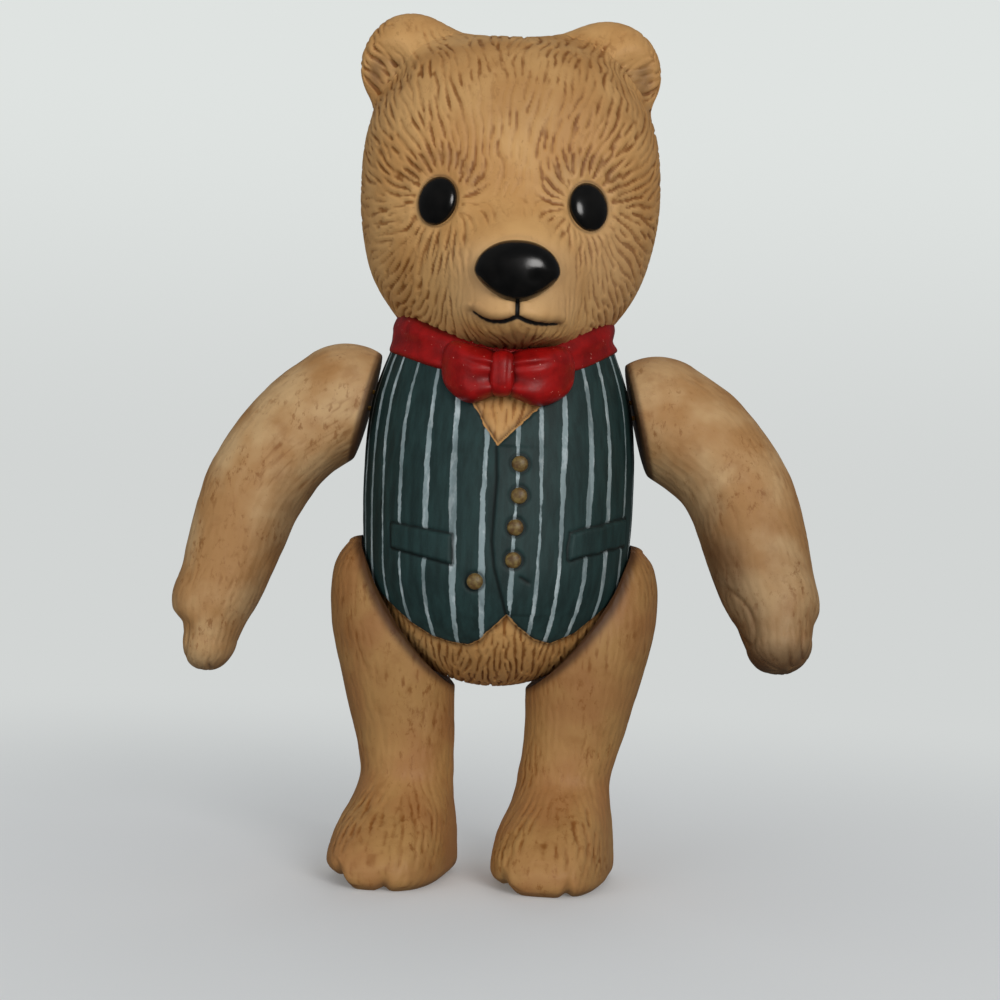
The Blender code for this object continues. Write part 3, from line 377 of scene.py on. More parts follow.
class BearColours(bpy.types.PropertyGroup):
    """Colours of the bisque, its wash and the paints."""

    tan: colour_property("Bisque tan", "Fired bisque under the wash", "#c49154")
    pale_tan: colour_property("Pale bisque", "Raised hair where the wash was wiped off", "#d3a467")
    arm_tan: colour_property("Arm tan", "Paler bisque of the arms", "#b28450")
    arm_pale: colour_property("Arm pale", "Rubbed bisque of the arms", "#cba777")
    # Painted shade: the legs' two tans are darker than the body's, for the shade that deepens towards the
    # bottom.
    leg_shaded_tan: colour_property("Leg tan", "Darker bisque of the legs", "#a97744")
    leg_shaded_pale: colour_property("Leg pale", "Rubbed bisque of the legs", "#b58950")
    wash: colour_property("Brown wash", "Wash left in the carved lines", "#824a0a")
    # Painted shade: the deep brown that darkens creases, folds, hollows and the parts under others.
    painted_shade_brown: colour_property("Deep wash", "Wash gathered in crevices", "#3c1f0b")
    waistcoat: colour_property("Waistcoat", "Dark green teal paint", "#243e3d")
    stripe: colour_property("Stripe", "Pale blue grey stripe paint", "#93a5a8")
    red: colour_property("Red", "Red of the collar band and bow tie", "#a8100f")


# Curves, ways, noise and outlines


def smooth_through(heights, values, z, first_slope=None):
    """A smooth curve through the values at rising heights, with no overshoot: cubic pieces whose slope at
    each inner point is the mean of the two neighbouring rises, or nought where they change sign."""
    heights, values = np.asarray(heights, float), np.asarray(values, float)
    step = np.diff(heights)
    rise = np.diff(values) / step
    slope = np.empty_like(values)
    slope[0], slope[-1] = rise[0], rise[-1]
    slope[1:-1] = np.where(rise[:-1] * rise[1:] > 0, (rise[:-1] + rise[1:]) / 2, 0.0)
    if first_slope is not None:
        slope[0] = first_slope
    k = np.clip(np.searchsorted(heights, z) - 1, 0, len(step) - 1)
    t = (z - heights[k]) / step[k]
    return (
        values[k] * (2 * t**3 - 3 * t**2 + 1)
        + slope[k] * step[k] * (t**3 - 2 * t**2 + t)
        + values[k + 1] * (3 * t**2 - 2 * t**3)
        + slope[k + 1] * step[k] * (t**3 - t**2)
    )


def ease(low, high, value):
    """Nought below low, one above high, and a smooth rise between them."""
    t = np.clip((value - low) / (high - low), 0.0, 1.0)
    return t * t * (3 - 2 * t)


def hump(*offsets, power=2):
    """One where every offset is nought, fading to nought where one of them grows past one."""
    return np.exp(-sum(np.abs(offset) ** power for offset in offsets))


def signed_power(value, power):
    """A power of the value that keeps its sign."""
    return np.sign(value) * np.abs(value) ** power


def vectors(*parts):
    """One array of vectors from the arrays of their parts."""
    return np.stack(np.broadcast_arrays(*parts), axis=-1)


def unit(ways):
    """The ways at a length of one."""
    return ways / np.maximum(np.linalg.norm(ways, axis=-1, keepdims=True), 1e-12)


def full_turn(count):
    """Evenly spaced angles once round."""
    return np.linspace(0, 2 * math.pi, count, endpoint=False)


def graded(start, end, count, weight):
    """Places from start to end whose spacing falls as weight rises."""
    fine = np.linspace(start, end, 2000)
    mass = np.concatenate(([0.0], np.cumsum((weight(fine[1:]) + weight(fine[:-1])) / 2)))
    return np.interp(np.linspace(0, mass[-1], count), mass, fine)


def grid_normals(points, outside_of):
    """Unit normals of a grid closed along its columns: the cross product of the steps along its rows and
    columns, turned away from the given middle."""
    along = np.gradient(points, axis=0)
    around = np.roll(points, -1, axis=1) - np.roll(points, 1, axis=1)
    normals = unit(np.cross(along, around))
    outward = (normals * (points - np.asarray(outside_of))).sum()
    return normals if outward > 0 else -normals


def solid_noise(places, cell, seed):
    """Smooth noise from nought to one in space: random numbers on a cubic lattice of the given cell, mixed
    by an eased distance within each cell."""
    size = 40
    lattice = np.random.default_rng(seed).random((size, size, size))
    q = np.asarray(places) / cell
    low = np.floor(q).astype(int)
    f = q - low
    f = f * f * (3 - 2 * f)
    x0, y0, z0 = np.moveaxis(low % size, -1, 0)
    x1, y1, z1 = (x0 + 1) % size, (y0 + 1) % size, (z0 + 1) % size
    fx, fy, fz = np.moveaxis(f, -1, 0)
    near = lattice[x0, y0, z0] * (1 - fx) + lattice[x1, y0, z0] * fx
    far = lattice[x0, y1, z0] * (1 - fx) + lattice[x1, y1, z0] * fx
    lower = near * (1 - fy) + far * fy
    near = lattice[x0, y0, z1] * (1 - fx) + lattice[x1, y0, z1] * fx
    far = lattice[x0, y1, z1] * (1 - fx) + lattice[x1, y1, z1] * fx
    upper = near * (1 - fy) + far * fy
    return lower * (1 - fz) + upper * fz


def lumps(places, *layers):
    """Gentle unevenness about nought: layers of noise, each with its height, its cell and its seed."""
    return sum(height * (solid_noise(places, cell, seed) - 0.5) for height, cell, seed in layers)


def hair_lines(places, normals, flow, pitch, reach, seed):
    """Carved hair lines from nought on a ridge to one in a groove: fine noise less its mean half a pitch to
    either side of the hair, averaged along the way the hair runs. The difference keeps lines of one pitch
    and the average keeps them long."""
    steps = 6
    cell = pitch / 2.1
    total = 0.0
    for sign in (1.0, -1.0):
        place = places.copy()
        for step in range(steps):
            way = flow(place)
            way = unit(way - (way * normals).sum(axis=-1, keepdims=True) * normals)
            aside = np.cross(normals, way) * (pitch / 2)
            if step or sign > 0:
                here = solid_noise(place, cell, seed)
                beside = solid_noise(place + aside, cell, seed) + solid_noise(place - aside, cell, seed)
                total = total + (1 - 0.5 * step / steps) * (here - beside / 2)
            place = place + way * (sign * reach / steps)
    return ease(-0.35, 1.25, -total / total.std())


def worn(places):
    """How much of the carved hair is left at places: rubbed patches break the lines into strokes."""
    return 0.58 + 0.50 * ease(0.30, 0.60, solid_noise(places, 2.2, 46))


def distance_to_line(x, z, line):
    """Distance in the front view from each point to the nearest stretch of a broken line."""
    nearest = np.full(np.shape(x), 1e9)
    for (ax, az), (bx, bz) in zip(line, line[1:]):
        length2 = (bx - ax) ** 2 + (bz - az) ** 2
        t = np.clip(((x - ax) * (bx - ax) + (z - az) * (bz - az)) / length2, 0.0, 1.0)
        nearest = np.minimum(nearest, np.hypot(x - ax - t * (bx - ax), z - az - t * (bz - az)))
    return nearest


def depth_inside(x, z, outline):
    """Distance in the front view to a closed outline, positive inside it."""
    closed = (*outline, outline[0])
    inside = np.zeros(np.shape(x), bool)
    for (ax, az), (bx, bz) in zip(closed, closed[1:]):
        crosses = (az > z) != (bz > z)
        at = (bx - ax) * (z - az) / ((bz - az) or 1e-9) + ax
        inside ^= crosses & (x < at)
    return np.where(inside, 1.0, -1.0) * distance_to_line(x, z, closed)


# Pieces of the scene


def mesh_piece(
    name, points, material, marks=None, body="trunk", stands_for=(), hoop=False
):
    """A closed piece from a grid of points: square faces between the rows, which close on themselves. A fan
    of triangles closes the first and the last row, or in a hoop the last row meets the first."""
    rows, columns = points.shape[:2]
    index = np.arange(rows * columns, dtype=np.int32).reshape(rows, columns)
    right = np.roll(index, -1, axis=1)
    joined = rows if hoop else rows - 1
    below = np.roll(index, -1, axis=0)[:joined]
    below_right = np.roll(below, -1, axis=1)
    quads = np.stack((index[:joined], below, below_right, right[:joined]), axis=-1).reshape(-1, 4)
    vertices = points.reshape(-1, 3)
    fans = np.empty((0, 3), np.int32)
    if not hoop:
        vertices = np.concatenate((vertices, [points[0].mean(axis=0), points[-1].mean(axis=0)]))
        first, last = (np.full(columns, rows * columns + k) for k in (0, 1))
        first_fan = np.stack((first, index[0], right[0]), axis=-1)
        last_fan = np.stack((last, right[-1], index[-1]), axis=-1)
        fans = np.concatenate((first_fan, last_fan)).astype(np.int32)
    corners = vertices[quads]
    twice = np.cross(corners[:, 2] - corners[:, 0], corners[:, 3] - corners[:, 1])
    if (twice * corners.mean(axis=1)).sum() < 0:
        quads, fans = quads[:, ::-1], fans[:, ::-1]
    mesh = bpy.data.meshes.new(name)
    mesh.vertices.add(len(vertices))
    mesh.vertices.foreach_set("co", (vertices * MM).astype(np.float32).ravel())
    loops = np.concatenate((quads.ravel(), fans.ravel()))
    mesh.loops.add(len(loops))
    mesh.loops.foreach_set("vertex_index", loops)
    starts = np.concatenate((np.arange(len(quads)) * 4, quads.size + np.arange(len(fans)) * 3))
    mesh.polygons.add(len(starts))
    mesh.polygons.foreach_set("loop_start", starts.astype(np.int32))
    mesh.update(calc_edges=True)
    mesh.validate()
    for label, values in (marks or {}).items():
        ends = () if hoop else (np.mean(values[0]), np.mean(values[-1]))
        layer = mesh.attributes.new(label, "FLOAT", "POINT")
        layer.data.foreach_set("value", np.concatenate((np.ravel(values), ends)).astype(np.float32))
    piece = smooth_piece(name, mesh, material)
    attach(piece, body)
    if stands_for:
        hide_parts(*stands_for)
    return piece


def linked(name, data):
    """A mesh, a lamp or a camera as an object of the scene."""
    made = bpy.data.objects.new(name, data)
    bpy.context.scene.collection.objects.link(made)
    return made


def smooth_piece(name, mesh, material):
    """A mesh as a smooth object of the scene, in its material."""
    mesh.shade_smooth()
    mesh.materials.append(material)
    return linked(name, mesh)


# Nodes and materials


def add_node(tree, kind, sockets=None, **settings):
    """Adds a node with its settings, and fills or links its sockets."""
    node = tree.nodes.new(kind)
    for name, value in settings.items():
        setattr(node, name, value)
    for socket, value in (sockets or {}).items():
        if isinstance(value, bpy.types.NodeSocket):
            tree.links.new(value, node.inputs[socket])
        else:
            node.inputs[socket].default_value = value
    return node


def new_material(name):
    """An empty material."""
    old = bpy.data.materials.get(name)
    if old:
        bpy.data.materials.remove(old)
    material = bpy.data.materials.new(name)
    material.use_nodes = True
    return material


def object_place(tree):
    """Each point's place in its own object."""
    return add_node(tree, "ShaderNodeTexCoord").outputs["Object"]


def as_colour(value):
    """A hex colour, or the three parts of one in linear light, as an opaque colour. A link stays a link."""
    if isinstance(value, bpy.types.NodeSocket):
        return value
    parts = linear(value) if isinstance(value, str) else value
    return (*parts, 1.0)


def mixed(tree, factor, first, second):
    """The colour between first and second at the factor."""
    sockets = {0: factor, 6: as_colour(first), 7: as_colour(second)}
    return add_node(tree, "ShaderNodeMix", sockets, data_type="RGBA").outputs[2]


def maths(tree, operation, first, second):
    """The result of one sum on two values."""
    return add_node(tree, "ShaderNodeMath", {0: first, 1: second}, operation=operation).outputs[0]


def mark(tree, name):
    """The value that a piece's mesh carries under the name."""
    return add_node(tree, "ShaderNodeAttribute", attribute_name=name).outputs["Fac"]


def spread(tree, value, low, high, out_low=0.0, out_high=1.0):
    """The value's stretch from low to high, eased onto out_low to out_high."""
    return add_node(
        tree,
        "ShaderNodeMapRange",
        {"Value": value, "From Min": low, "From Max": high, "To Min": out_low, "To Max": out_high},
        interpolation_type="SMOOTHSTEP",
    ).outputs["Result"]


def noise_of(tree, size_mm, detail=2.0, roughness=0.5, upright=1.0):
    """Noise whose blotches are about size_mm across. An upright share below one stretches them upwards."""
    sockets = {"Vector": object_place(tree), "Scale": (1.0, 1.0, upright)}
    shaped = add_node(tree, "ShaderNodeMapping", sockets).outputs["Vector"]
    return add_node(
        tree,
        "ShaderNodeTexNoise",
        {"Vector": shaped, "Scale": 1000 / size_mm, "Detail": detail, "Roughness": roughness},
    ).outputs["Fac"]


def bisque_colour(tree, colours, mottle, dark, pale):
    """Fired bisque with a brown wash: pale where the wash came off and brown in the carved lines, and
    darkened with painted shade in creases, hollows and under parts.
    """
    broad = spread(tree, noise_of(tree, 7.0, 3.0), 0.35, 0.68)
    rubbed = spread(tree, noise_of(tree, 3.2, 5.0, 0.62), 0.50, 0.72, 0.0, mottle * 0.6)
    patches = spread(tree, noise_of(tree, 5.5, 2.0), 0.46, 0.66)
    scratches = noise_of(tree, 0.8, 4.0, 0.68, 0.5)
    scratches = spread(tree, scratches, 0.52, 0.66, 0.0, mottle * 1.5)
    scratched = maths(tree, "MULTIPLY", patches, scratches)
    speck = spread(tree, noise_of(tree, 0.45, 3.0, 0.6), 0.62, 0.74, 0.0, 0.28)
    streak = spread(tree, noise_of(tree, 1.4, 2.0), 0.25, 0.75, 0.55, 1.0)
    lined = maths(tree, "MULTIPLY", mark(tree, "groove"), streak)
    lined = spread(tree, lined, 0.12, 0.95, 0.0, 0.86)
    tan = mixed(tree, broad, dark, pale)
    for washed in (rubbed, scratched, speck, lined):
        tan = mixed(tree, washed, tan, colours.wash)
    # Painted shade: each piece's mark darkens the bisque towards the deep brown where shade falls.
    gathered = spread(tree, mark(tree, "painted_shade"), 0.0, 1.0, 0.0, 0.92)
    return mixed(tree, gathered, tan, colours.painted_shade_brown)


def finished(material, colour, roughness, ior=1.5, size_mm=0.35, height_mm=0.03):
    """Gives a material its colour and shine, and the fine grain of its surface as a bump."""
    tree = material.node_tree
    shader = tree.nodes["Principled BSDF"]
    tree.links.new(colour, shader.inputs["Base Color"])
    shader.inputs["Roughness"].default_value = roughness
    shader.inputs["IOR"].default_value = ior
    grain = noise_of(tree, size_mm, 3.0, 0.6)
    bump = add_node(tree, "ShaderNodeBump", {"Height": grain, "Strength": 1.0, "Distance": height_mm * MM})
    tree.links.new(bump.outputs["Normal"], shader.inputs["Normal"])
    return material


def washed_bisque(colours, name, mottle, dark, pale):
    """Unglazed bisque, brushed with a brown wash that was then rubbed back: matt, with a faint eggshell
    sheen.
    """
    material = new_material(name)
    tree = material.node_tree
    return finished(material, bisque_colour(tree, colours, mottle, dark, pale), 0.62)


def face_bisque(colours):
    """The head's bisque: washed like the fur, made paler on the muzzle and the bear's left cheek by painted
    light, with a thin black mouth line.
    """
    material = new_material("washed bisque face")
    tree = material.node_tree
    base = bisque_colour(tree, colours, 0.16, colours.tan, colours.pale_tan)
    # Painted light: the muzzle and the bear's left cheek are lightened towards a pale tan.
    painted_light = spread(tree, mark(tree, "painted_light"), 0.0, 1.0, 0.0, 0.34)
    base = mixed(tree, painted_light, base, "#ecc694")
    painted = spread(tree, mark(tree, "mouth"), 0.33, 0.20)
    return finished(material, mixed(tree, painted, base, "#0d0b0a"), 0.60)


def waistcoat_bisque(colours):
    """Torso bisque with a hand-painted waistcoat: matt acrylic in dark strokes, stripes with ragged edges."""
    material = new_material("painted bisque torso")
    tree = material.node_tree
    fur = bisque_colour(tree, colours, 0.16, colours.tan, colours.pale_tan)
    strokes = spread(tree, noise_of(tree, 1.1, 4.0, 0.6, 0.16), 0.30, 0.72)
    dark = tuple(c * 0.55 for c in colours.waistcoat)
    cloth = mixed(tree, strokes, dark, colours.waistcoat)
    ragged = spread(tree, noise_of(tree, 0.7, 3.0, 0.6, 0.35), 0.3, 0.7, -0.08, 0.08)
    edge = maths(tree, "ADD", mark(tree, "stripe"), ragged)
    thin = spread(tree, noise_of(tree, 2.4, 3.0, 0.6, 0.3), 0.28, 0.6, 0.45, 0.95)
    laid = maths(tree, "MULTIPLY", spread(tree, edge, -0.06, 0.06), thin)
    thick = spread(tree, noise_of(tree, 1.5, 3.0, 0.65, 0.5), 0.48, 0.66)
    cloth = mixed(tree, laid, cloth, mixed(tree, thick, colours.stripe, "#bccacd"))
    # Painted shade: the waistcoat darkened in the grooves round the welts, the lapped front edge, the buttons
    # and the buttonhole.
    shade = spread(tree, mark(tree, "seam"), 0.0, 1.0, 0.0, 0.8)
    cloth = mixed(tree, shade, cloth, "#0c1312")
    waver = spread(tree, noise_of(tree, 1.2, 2.0), 0.3, 0.7, -0.10, 0.10)
    border = maths(tree, "ADD", mark(tree, "vest"), waver)
    return finished(material, mixed(tree, spread(tree, border, -0.05, 0.06), fur, cloth), 0.62, 1.42)


def red_enamel(colours):
    """Satin red paint on bisque, brushed a little unevenly, darkened with painted shade in its folds and
    along its edges, and with fine painted glints.
    """
    material = new_material("satin red paint")
    tree = material.node_tree
    uneven = spread(tree, noise_of(tree, 1.8, 4.0), 0.3, 0.7)
    red = mixed(tree, uneven, tuple(c * 0.62 for c in colours.red), colours.red)
    # Painted shade in the folds and along the edges; below it, fine painted glints.
    red = mixed(tree, spread(tree, mark(tree, "painted_shade"), 0.0, 1.0, 0.0, 0.8), red, "#3a0605")
    painted_glint = spread(tree, noise_of(tree, 0.30, 1.0), 0.76, 0.80, 0.0, 0.8)
    return finished(material, mixed(tree, painted_glint, red, "#f0b0a0"), 0.42, 1.36, 0.5, 0.04)


def plain_paint(name, dark, light, roughness, size_mm, height_mm):
    """Brushed paint whose colour drifts between two close tones."""
    material = new_material(name)
    tree = material.node_tree
    tone = spread(tree, noise_of(tree, size_mm, 3.0), 0.3, 0.7)
    return finished(material, mixed(tree, tone, dark, light), roughness, 1.5, size_mm / 2, height_mm)


def bare_metal(name, dark, light, roughness):
    """Drawn or pressed metal, dulled a little in patches."""
    material = plain_paint(name, dark, light, roughness, 0.6, 0.004)
    material.node_tree.nodes["Principled BSDF"].inputs["Metallic"].default_value = 1.0
    return material


# Torso and waistcoat


def torso_sizes(z):
    """Half-width, front depth and back depth of the torso at height z: a ball below, eased curves above."""
    upper = np.clip(z, TORSO_HEIGHTS[0], TORSO_HEIGHTS[-1])
    slope = (BALL_Z - TORSO_HEIGHTS[0]) / TORSO_HALF_WIDTHS[0]
    above = smooth_through(TORSO_HEIGHTS, TORSO_HALF_WIDTHS, upper, slope)
    below = np.sqrt(np.maximum(BALL_RADIUS**2 - (BALL_Z - np.minimum(z, TORSO_HEIGHTS[0])) ** 2, 0.0))
    half_width = np.where(z > TORSO_HEIGHTS[0], above, below)
    front = smooth_through(TORSO_HEIGHTS, TORSO_FRONTS, upper)
    back = smooth_through(TORSO_HEIGHTS, TORSO_BACKS, upper)
    return half_width, half_width * front, half_width * back


def on_torso(turn, z):
    """Points of the torso's skin: turn is measured from straight ahead towards the bear's left."""
    half_width, front, back = torso_sizes(z)
    deep = np.where(np.cos(turn) > 0, front, back)
    return vectors(half_width * np.sin(turn), AXIS_Y - deep * np.cos(turn), z)


def belly_flow(place):
    """The way the hair runs on the torso: down the front and under it, side by side with a slight fan."""
    x, y, z = place[..., 0], place[..., 1] - AXIS_Y, place[..., 2] - BALL_Z
    away = np.maximum(np.linalg.norm(vectors(x, y, z), axis=-1), 1.0)
    return vectors(lumps(place, (0.5, 3.0, 31)) - 0.012 * x, -z / away, y / away)


def inside_waistcoat(x, z, turns, ahead):
    """Distance inside the waistcoat's edge: its outline in front, eased at the sides into the level hem that
    runs round the back."""
    side_hem = z - VEST_BACK_HEM
    vest = np.where(ahead, depth_inside(x, z, VEST_OUTLINE), side_hem)
    near_side = ease(0.35, 0.12, np.cos(turns)) * ahead
    return vest * (1 - near_side) + side_hem * near_side


def past_overlap(x, z, ahead):
    """Which points are level with the edge that laps over in front, and how far to its left they lie."""
    edge_xs, edge_zs = zip(*reversed(OVERLAP_LINE))
    level = ahead & (z > edge_zs[0]) & (z < edge_zs[-1])
    return level, np.where(level, x - np.interp(z, edge_zs, edge_xs), -FAR)


def inside_stripe(turns, z, sizes):
    """Distance inside the nearest painted stripe: placed one by one in front and evenly behind, each stripe
    wandering a little and changing in width."""
    first, last = STRIPE_ANGLES[0], STRIPE_ANGLES[-1]
    behind = np.arange(last + STRIPE_PITCH_BEHIND, 360 + first - 5, STRIPE_PITCH_BEHIND)
    degrees = np.degrees(turns)
    inside = np.full_like(z, -1e9)
    for k, angle in enumerate((*STRIPE_ANGLES, *behind)):
        wander = 0.45 * np.sin(z / 6.7 + 2.1 * k) + 0.15 * np.sin(z / 2.6 + 1.3 * k)
        apart = np.abs((degrees - angle - wander + 180) % 360 - 180)
        wide = sizes.stripe_width / MM / 2 * (1 + 0.30 * math.sin(5.1 * k) + 0.25 * np.sin(z / 4.3 + k))
        inside = np.maximum(inside, wide - np.radians(apart) * BALL_RADIUS)
    return inside


def torso_skin(sizes):
    """The torso with waistcoat, welts and fur: the ball and the eased curves above it, moved out along the
    normals by the waistcoat's thickness inside its outline and in by the hair lines outside it. Below, it
    turns up into the vent."""
    turn = graded(-math.pi, math.pi, TORSO_COLUMNS + 1, lambda t: 0.50 + ease(1.8, 1.3, np.abs(t)))[:-1]
    fall = np.radians(np.linspace(*BALL_SPAN, BALL_ROWS))
    upper = np.linspace(TORSO_HEIGHTS[0], TORSO_HEIGHTS[-1], UPPER_ROWS)
    levels = np.concatenate((BALL_Z - BALL_RADIUS * np.cos(fall), upper))
    turns, heights = np.meshgrid(turn, levels)
    skin = on_torso(turns, heights)
    normals = grid_normals(skin, (0, AXIS_Y, 45))
    x, z = skin[..., 0], skin[..., 2]
    ahead = np.cos(turns) > 0
    vest = inside_waistcoat(x, z, turns, ahead)
    on_vest = ease(-0.12, 0.22, vest)
    lap_level, past_lap = past_overlap(x, z, ahead)
    lapped = LAP_HEIGHT * ease(-0.15, 0.12, past_lap) * np.exp(-np.maximum(past_lap, 0) / 3.2)
    welts = np.maximum(depth_inside(x, z, LEFT_WELT), depth_inside(x, z, RIGHT_WELT))
    welts = np.where(ahead, welts, -FAR) + lumps(skin, (0.35, 1.3, 21)) * (x > 0)
    raised = WELT_HEIGHT * ease(-0.08, 0.18, welts)
    cut = WELT_GROOVE * hump((welts + 0.22) / 0.16)
    hole = BUTTONHOLE_DEPTH * hump(distance_to_line(x, z, BUTTONHOLE) / 0.2) * ahead
    rings = np.zeros_like(x)
    for bx, bz in BUTTONS:
        apart = np.hypot(x - bx, z - bz)
        rings += BUTTON_GROOVE * hump((apart - BUTTON_RADIUS - 0.12) / 0.2) * ahead
    brushed = lumps(skin, (0.10, 3.4, 5), (0.05, 1.1, 6))
    hair = hair_lines(skin, normals, belly_flow, 0.78 * sizes.fur_pitch / MM, 1.2, 11)
    furred = 1 - ease(-0.25, -0.02, vest)
    out = sizes.vest_relief / MM * on_vest + (lapped + raised - cut - hole - rings + brushed * 0.6) * on_vest
    out = out - sizes.fur_depth / MM * hair * furred
    skin = skin + normals * out[..., None]
    stripe = np.minimum(inside_stripe(turns, z, sizes), -(welts + 0.15))
    stripe = np.where((past_lap < 0.35) & (past_lap > -0.5), np.minimum(stripe, -0.2), stripe)
    lap_seam = np.where(lap_level, hump((past_lap + 0.15) / 0.22), 0.0)
    welt_seam = hump((welts + 0.18) / 0.16)
    seam = np.maximum.reduce((welt_seam, lap_seam, np.minimum(rings * 4, 1.0), hole * 4))
    # Painted shade: fur darkened just outside the waistcoat's edge and under the collar, and more towards the
    # bottom of the belly.
    tucked = np.maximum(np.exp(-np.abs(vest + 0.25) / 0.45) * (vest < 0.1), ease(66.5, 68.5, z))
    low_belly_shade = ease(34.0, 27.0, z) * 0.26
    rim = on_torso(turn, np.full_like(turn, levels[0]))
    pit = np.stack([rim + (0, 0, deep) for deep in VENT_PIT])

    def with_pit(values, fill):
        return np.concatenate((np.full((len(VENT_PIT), len(turn)), fill), values))

    marks = {
        "groove": with_pit(np.clip(0.88 * hair * furred, 0, 1), 0.0),
        "painted_shade": with_pit(np.clip(np.maximum(tucked * 0.75, low_belly_shade) * furred, 0, 1), 1.0),
        "vest": with_pit(vest, -FAR),
        "stripe": with_pit(stripe, -FAR),
        "seam": with_pit(seam, 0.0),
    }
    return np.concatenate((pit, skin)), marks


# Head and ears


def bell(x, z, centre, half_sizes):
    """A flat-topped bell over the face: one at its centre, fading to nought past its half-sizes."""
    across, up = (x - centre[0]) / half_sizes[0], (z - centre[1]) / half_sizes[1]
    return hump(across, up, power=MUZZLE_FLATNESS)


def muzzle_swell(x, z):
    """How far muzzle and chin carry the face forwards."""
    muzzle = bell(x, z, (MUZZLE_X, MUZZLE_Z), (MUZZLE_HALF_WIDTH, MUZZLE_HALF_HEIGHT))
    chin = bell(x, z, (CHIN_X, CHIN_Z), (CHIN_HALF_WIDTH, CHIN_HALF_HEIGHT))
    return MUZZLE_OUT * muzzle + CHIN_OUT * chin


def boxiness(rise):
    """The head's roundness power, which grows from cheeks to brow; rise is a share of the head's height."""
    return CHEEK_BOXINESS + (BROW_BOXINESS - CHEEK_BOXINESS) * ease(-BOXINESS_BLEND, BOXINESS_BLEND, rise)


def head_block(directions):
    """The head's skin in the given directions: a rounded block with the muzzle's bell added in front."""
    power = boxiness(directions[..., 2])[..., None]
    boxy = (np.abs(directions) ** power).sum(axis=-1, keepdims=True) ** (-1 / power)
    deep = np.where(directions[..., 1] < 0, HEAD_FRONT, HEAD_BACK)
    tall = np.where(directions[..., 2] > 0, HEAD_UP, HEAD_DOWN)
    points = directions * boxy * vectors(HEAD_HALF_WIDTH, deep, tall)
    points[..., 2] += HEAD_Z
    facing = np.clip(-directions[..., 1] * MUZZLE_SPREAD, 0.0, 1.0)
    points[..., 1] += AXIS_Y - muzzle_swell(points[..., 0], points[..., 2]) * facing
    return points


def face_depth(x, z):
    """The y of the plain face at side offset x and height z."""
    x, z = np.asarray(x, float), np.asarray(z, float)
    tall = np.where(z > HEAD_Z, HEAD_UP, HEAD_DOWN)
    power = boxiness((z - HEAD_Z) / tall)
    filled = np.abs(x / HEAD_HALF_WIDTH) ** power + np.abs((z - HEAD_Z) / tall) ** power
    return AXIS_Y - HEAD_FRONT * np.maximum(1 - filled, 0.0) ** (1 / power) - muzzle_swell(x, z)


def block_distance(shares, half_sizes, power):
    """Rough distance in millimetres to a rounded block, positive outside it: how far the shares of its
    half-sizes exceed one, over the steepness of that excess."""
    shares, power = np.abs(shares), np.asarray(power)
    size = np.maximum((shares ** power[..., None]).sum(axis=-1) ** (1 / power), 1e-6)
    steep = ((shares / size[..., None]) ** (power - 1)[..., None]) / half_sizes
    return (size - 1) / np.maximum(np.linalg.norm(steep, axis=-1), 1e-6)


def head_distance(points):
    """Distance to the plain head without its muzzle."""
    local = points - (0, AXIS_Y, HEAD_Z)
    deep = np.where(local[..., 1] < 0, HEAD_FRONT, HEAD_BACK)
    tall = np.where(local[..., 2] > 0, HEAD_UP, HEAD_DOWN)
    half_sizes = vectors(HEAD_HALF_WIDTH, deep, tall)
    rise = local[..., 2] / np.maximum(np.linalg.norm(local, axis=-1), 1e-6)
    return block_distance(local / half_sizes, half_sizes, boxiness(rise))


def ear_frame(side):
    """An ear's middle, the way from its root to its tip, and the way across it."""
    centre = np.array((EAR_XS[side], AXIS_Y - EAR_FORWARD, EAR_ZS[side]))
    along = np.array((side * math.cos(EAR_LEAN), 0.0, math.sin(EAR_LEAN)))
    return centre, along, np.cross(along, (0.0, 1.0, 0.0))


def ear_sizes(place, inwards, side):
    """An ear's half-width, wider towards the head's middle, and its half-depth at places along it."""
    root = np.clip(place, EAR_ROOT_PLACES[0], 0.0)
    inner = smooth_through(EAR_ROOT_PLACES, EAR_INNER_SHARES, root) * EAR_INNER_SPREAD[side] * EAR_RADII[side]
    outer = smooth_through(EAR_ROOT_PLACES, EAR_OUTER_SHARES, root) * EAR_RADII[side]
    return np.where(inwards > 0, inner, outer), smooth_through(EAR_ROOT_PLACES, EAR_ROOT_DEPTHS, root)


def ear_distance(points, side):
    """Distance to an ear's pad: round and thick above its middle, and spreading towards its root."""
    centre, along, sideways = ear_frame(side)
    local = points - centre
    place, across, deep = local @ along, local @ sideways, local[..., 1]
    wide, thick = ear_sizes(place, across * side, side)
    round_share = np.hypot(across / wide, np.maximum(place, 0.0) / EAR_RADII[side])
    shares = vectors(round_share, deep / thick)
    return block_distance(shares, vectors(wide, thick), EAR_BOXINESS) + np.maximum(EAR_END - place, 0.0)


def beside_ear(points, side, shift, half_width, half_height):
    """Offsets from a place on an ear in shares of two half-sizes, and which points lie on the ear's front."""
    centre = ear_frame(side)[0]
    across = (points[..., 0] - centre[0] - shift[0]) / half_width
    up = (points[..., 2] - centre[2] - shift[1]) / half_height
    return across, up, ease(0.0, -1.5, points[..., 1] - centre[1])


def hollow_share(points, side):
    """How far inside an ear's hollow the points lie in the front view, from nought outside it to one."""
    across, up, front = beside_ear(points, side, HOLLOW_SHIFTS[side], HOLLOW_HALF_WIDTH, HOLLOW_HALF_HEIGHT)
    return ease(1.2, 0.35, np.hypot(across, up)) * front


def pad_share(points, side):
    """How near the points lie to the middle of an ear's pad in the front view, from nought to one."""
    across, up, front = beside_ear(points, side, PAD_SHIFTS[side], PAD_HALF_WIDTH, PAD_HALF_HEIGHT)
    return hump(across, up) * front


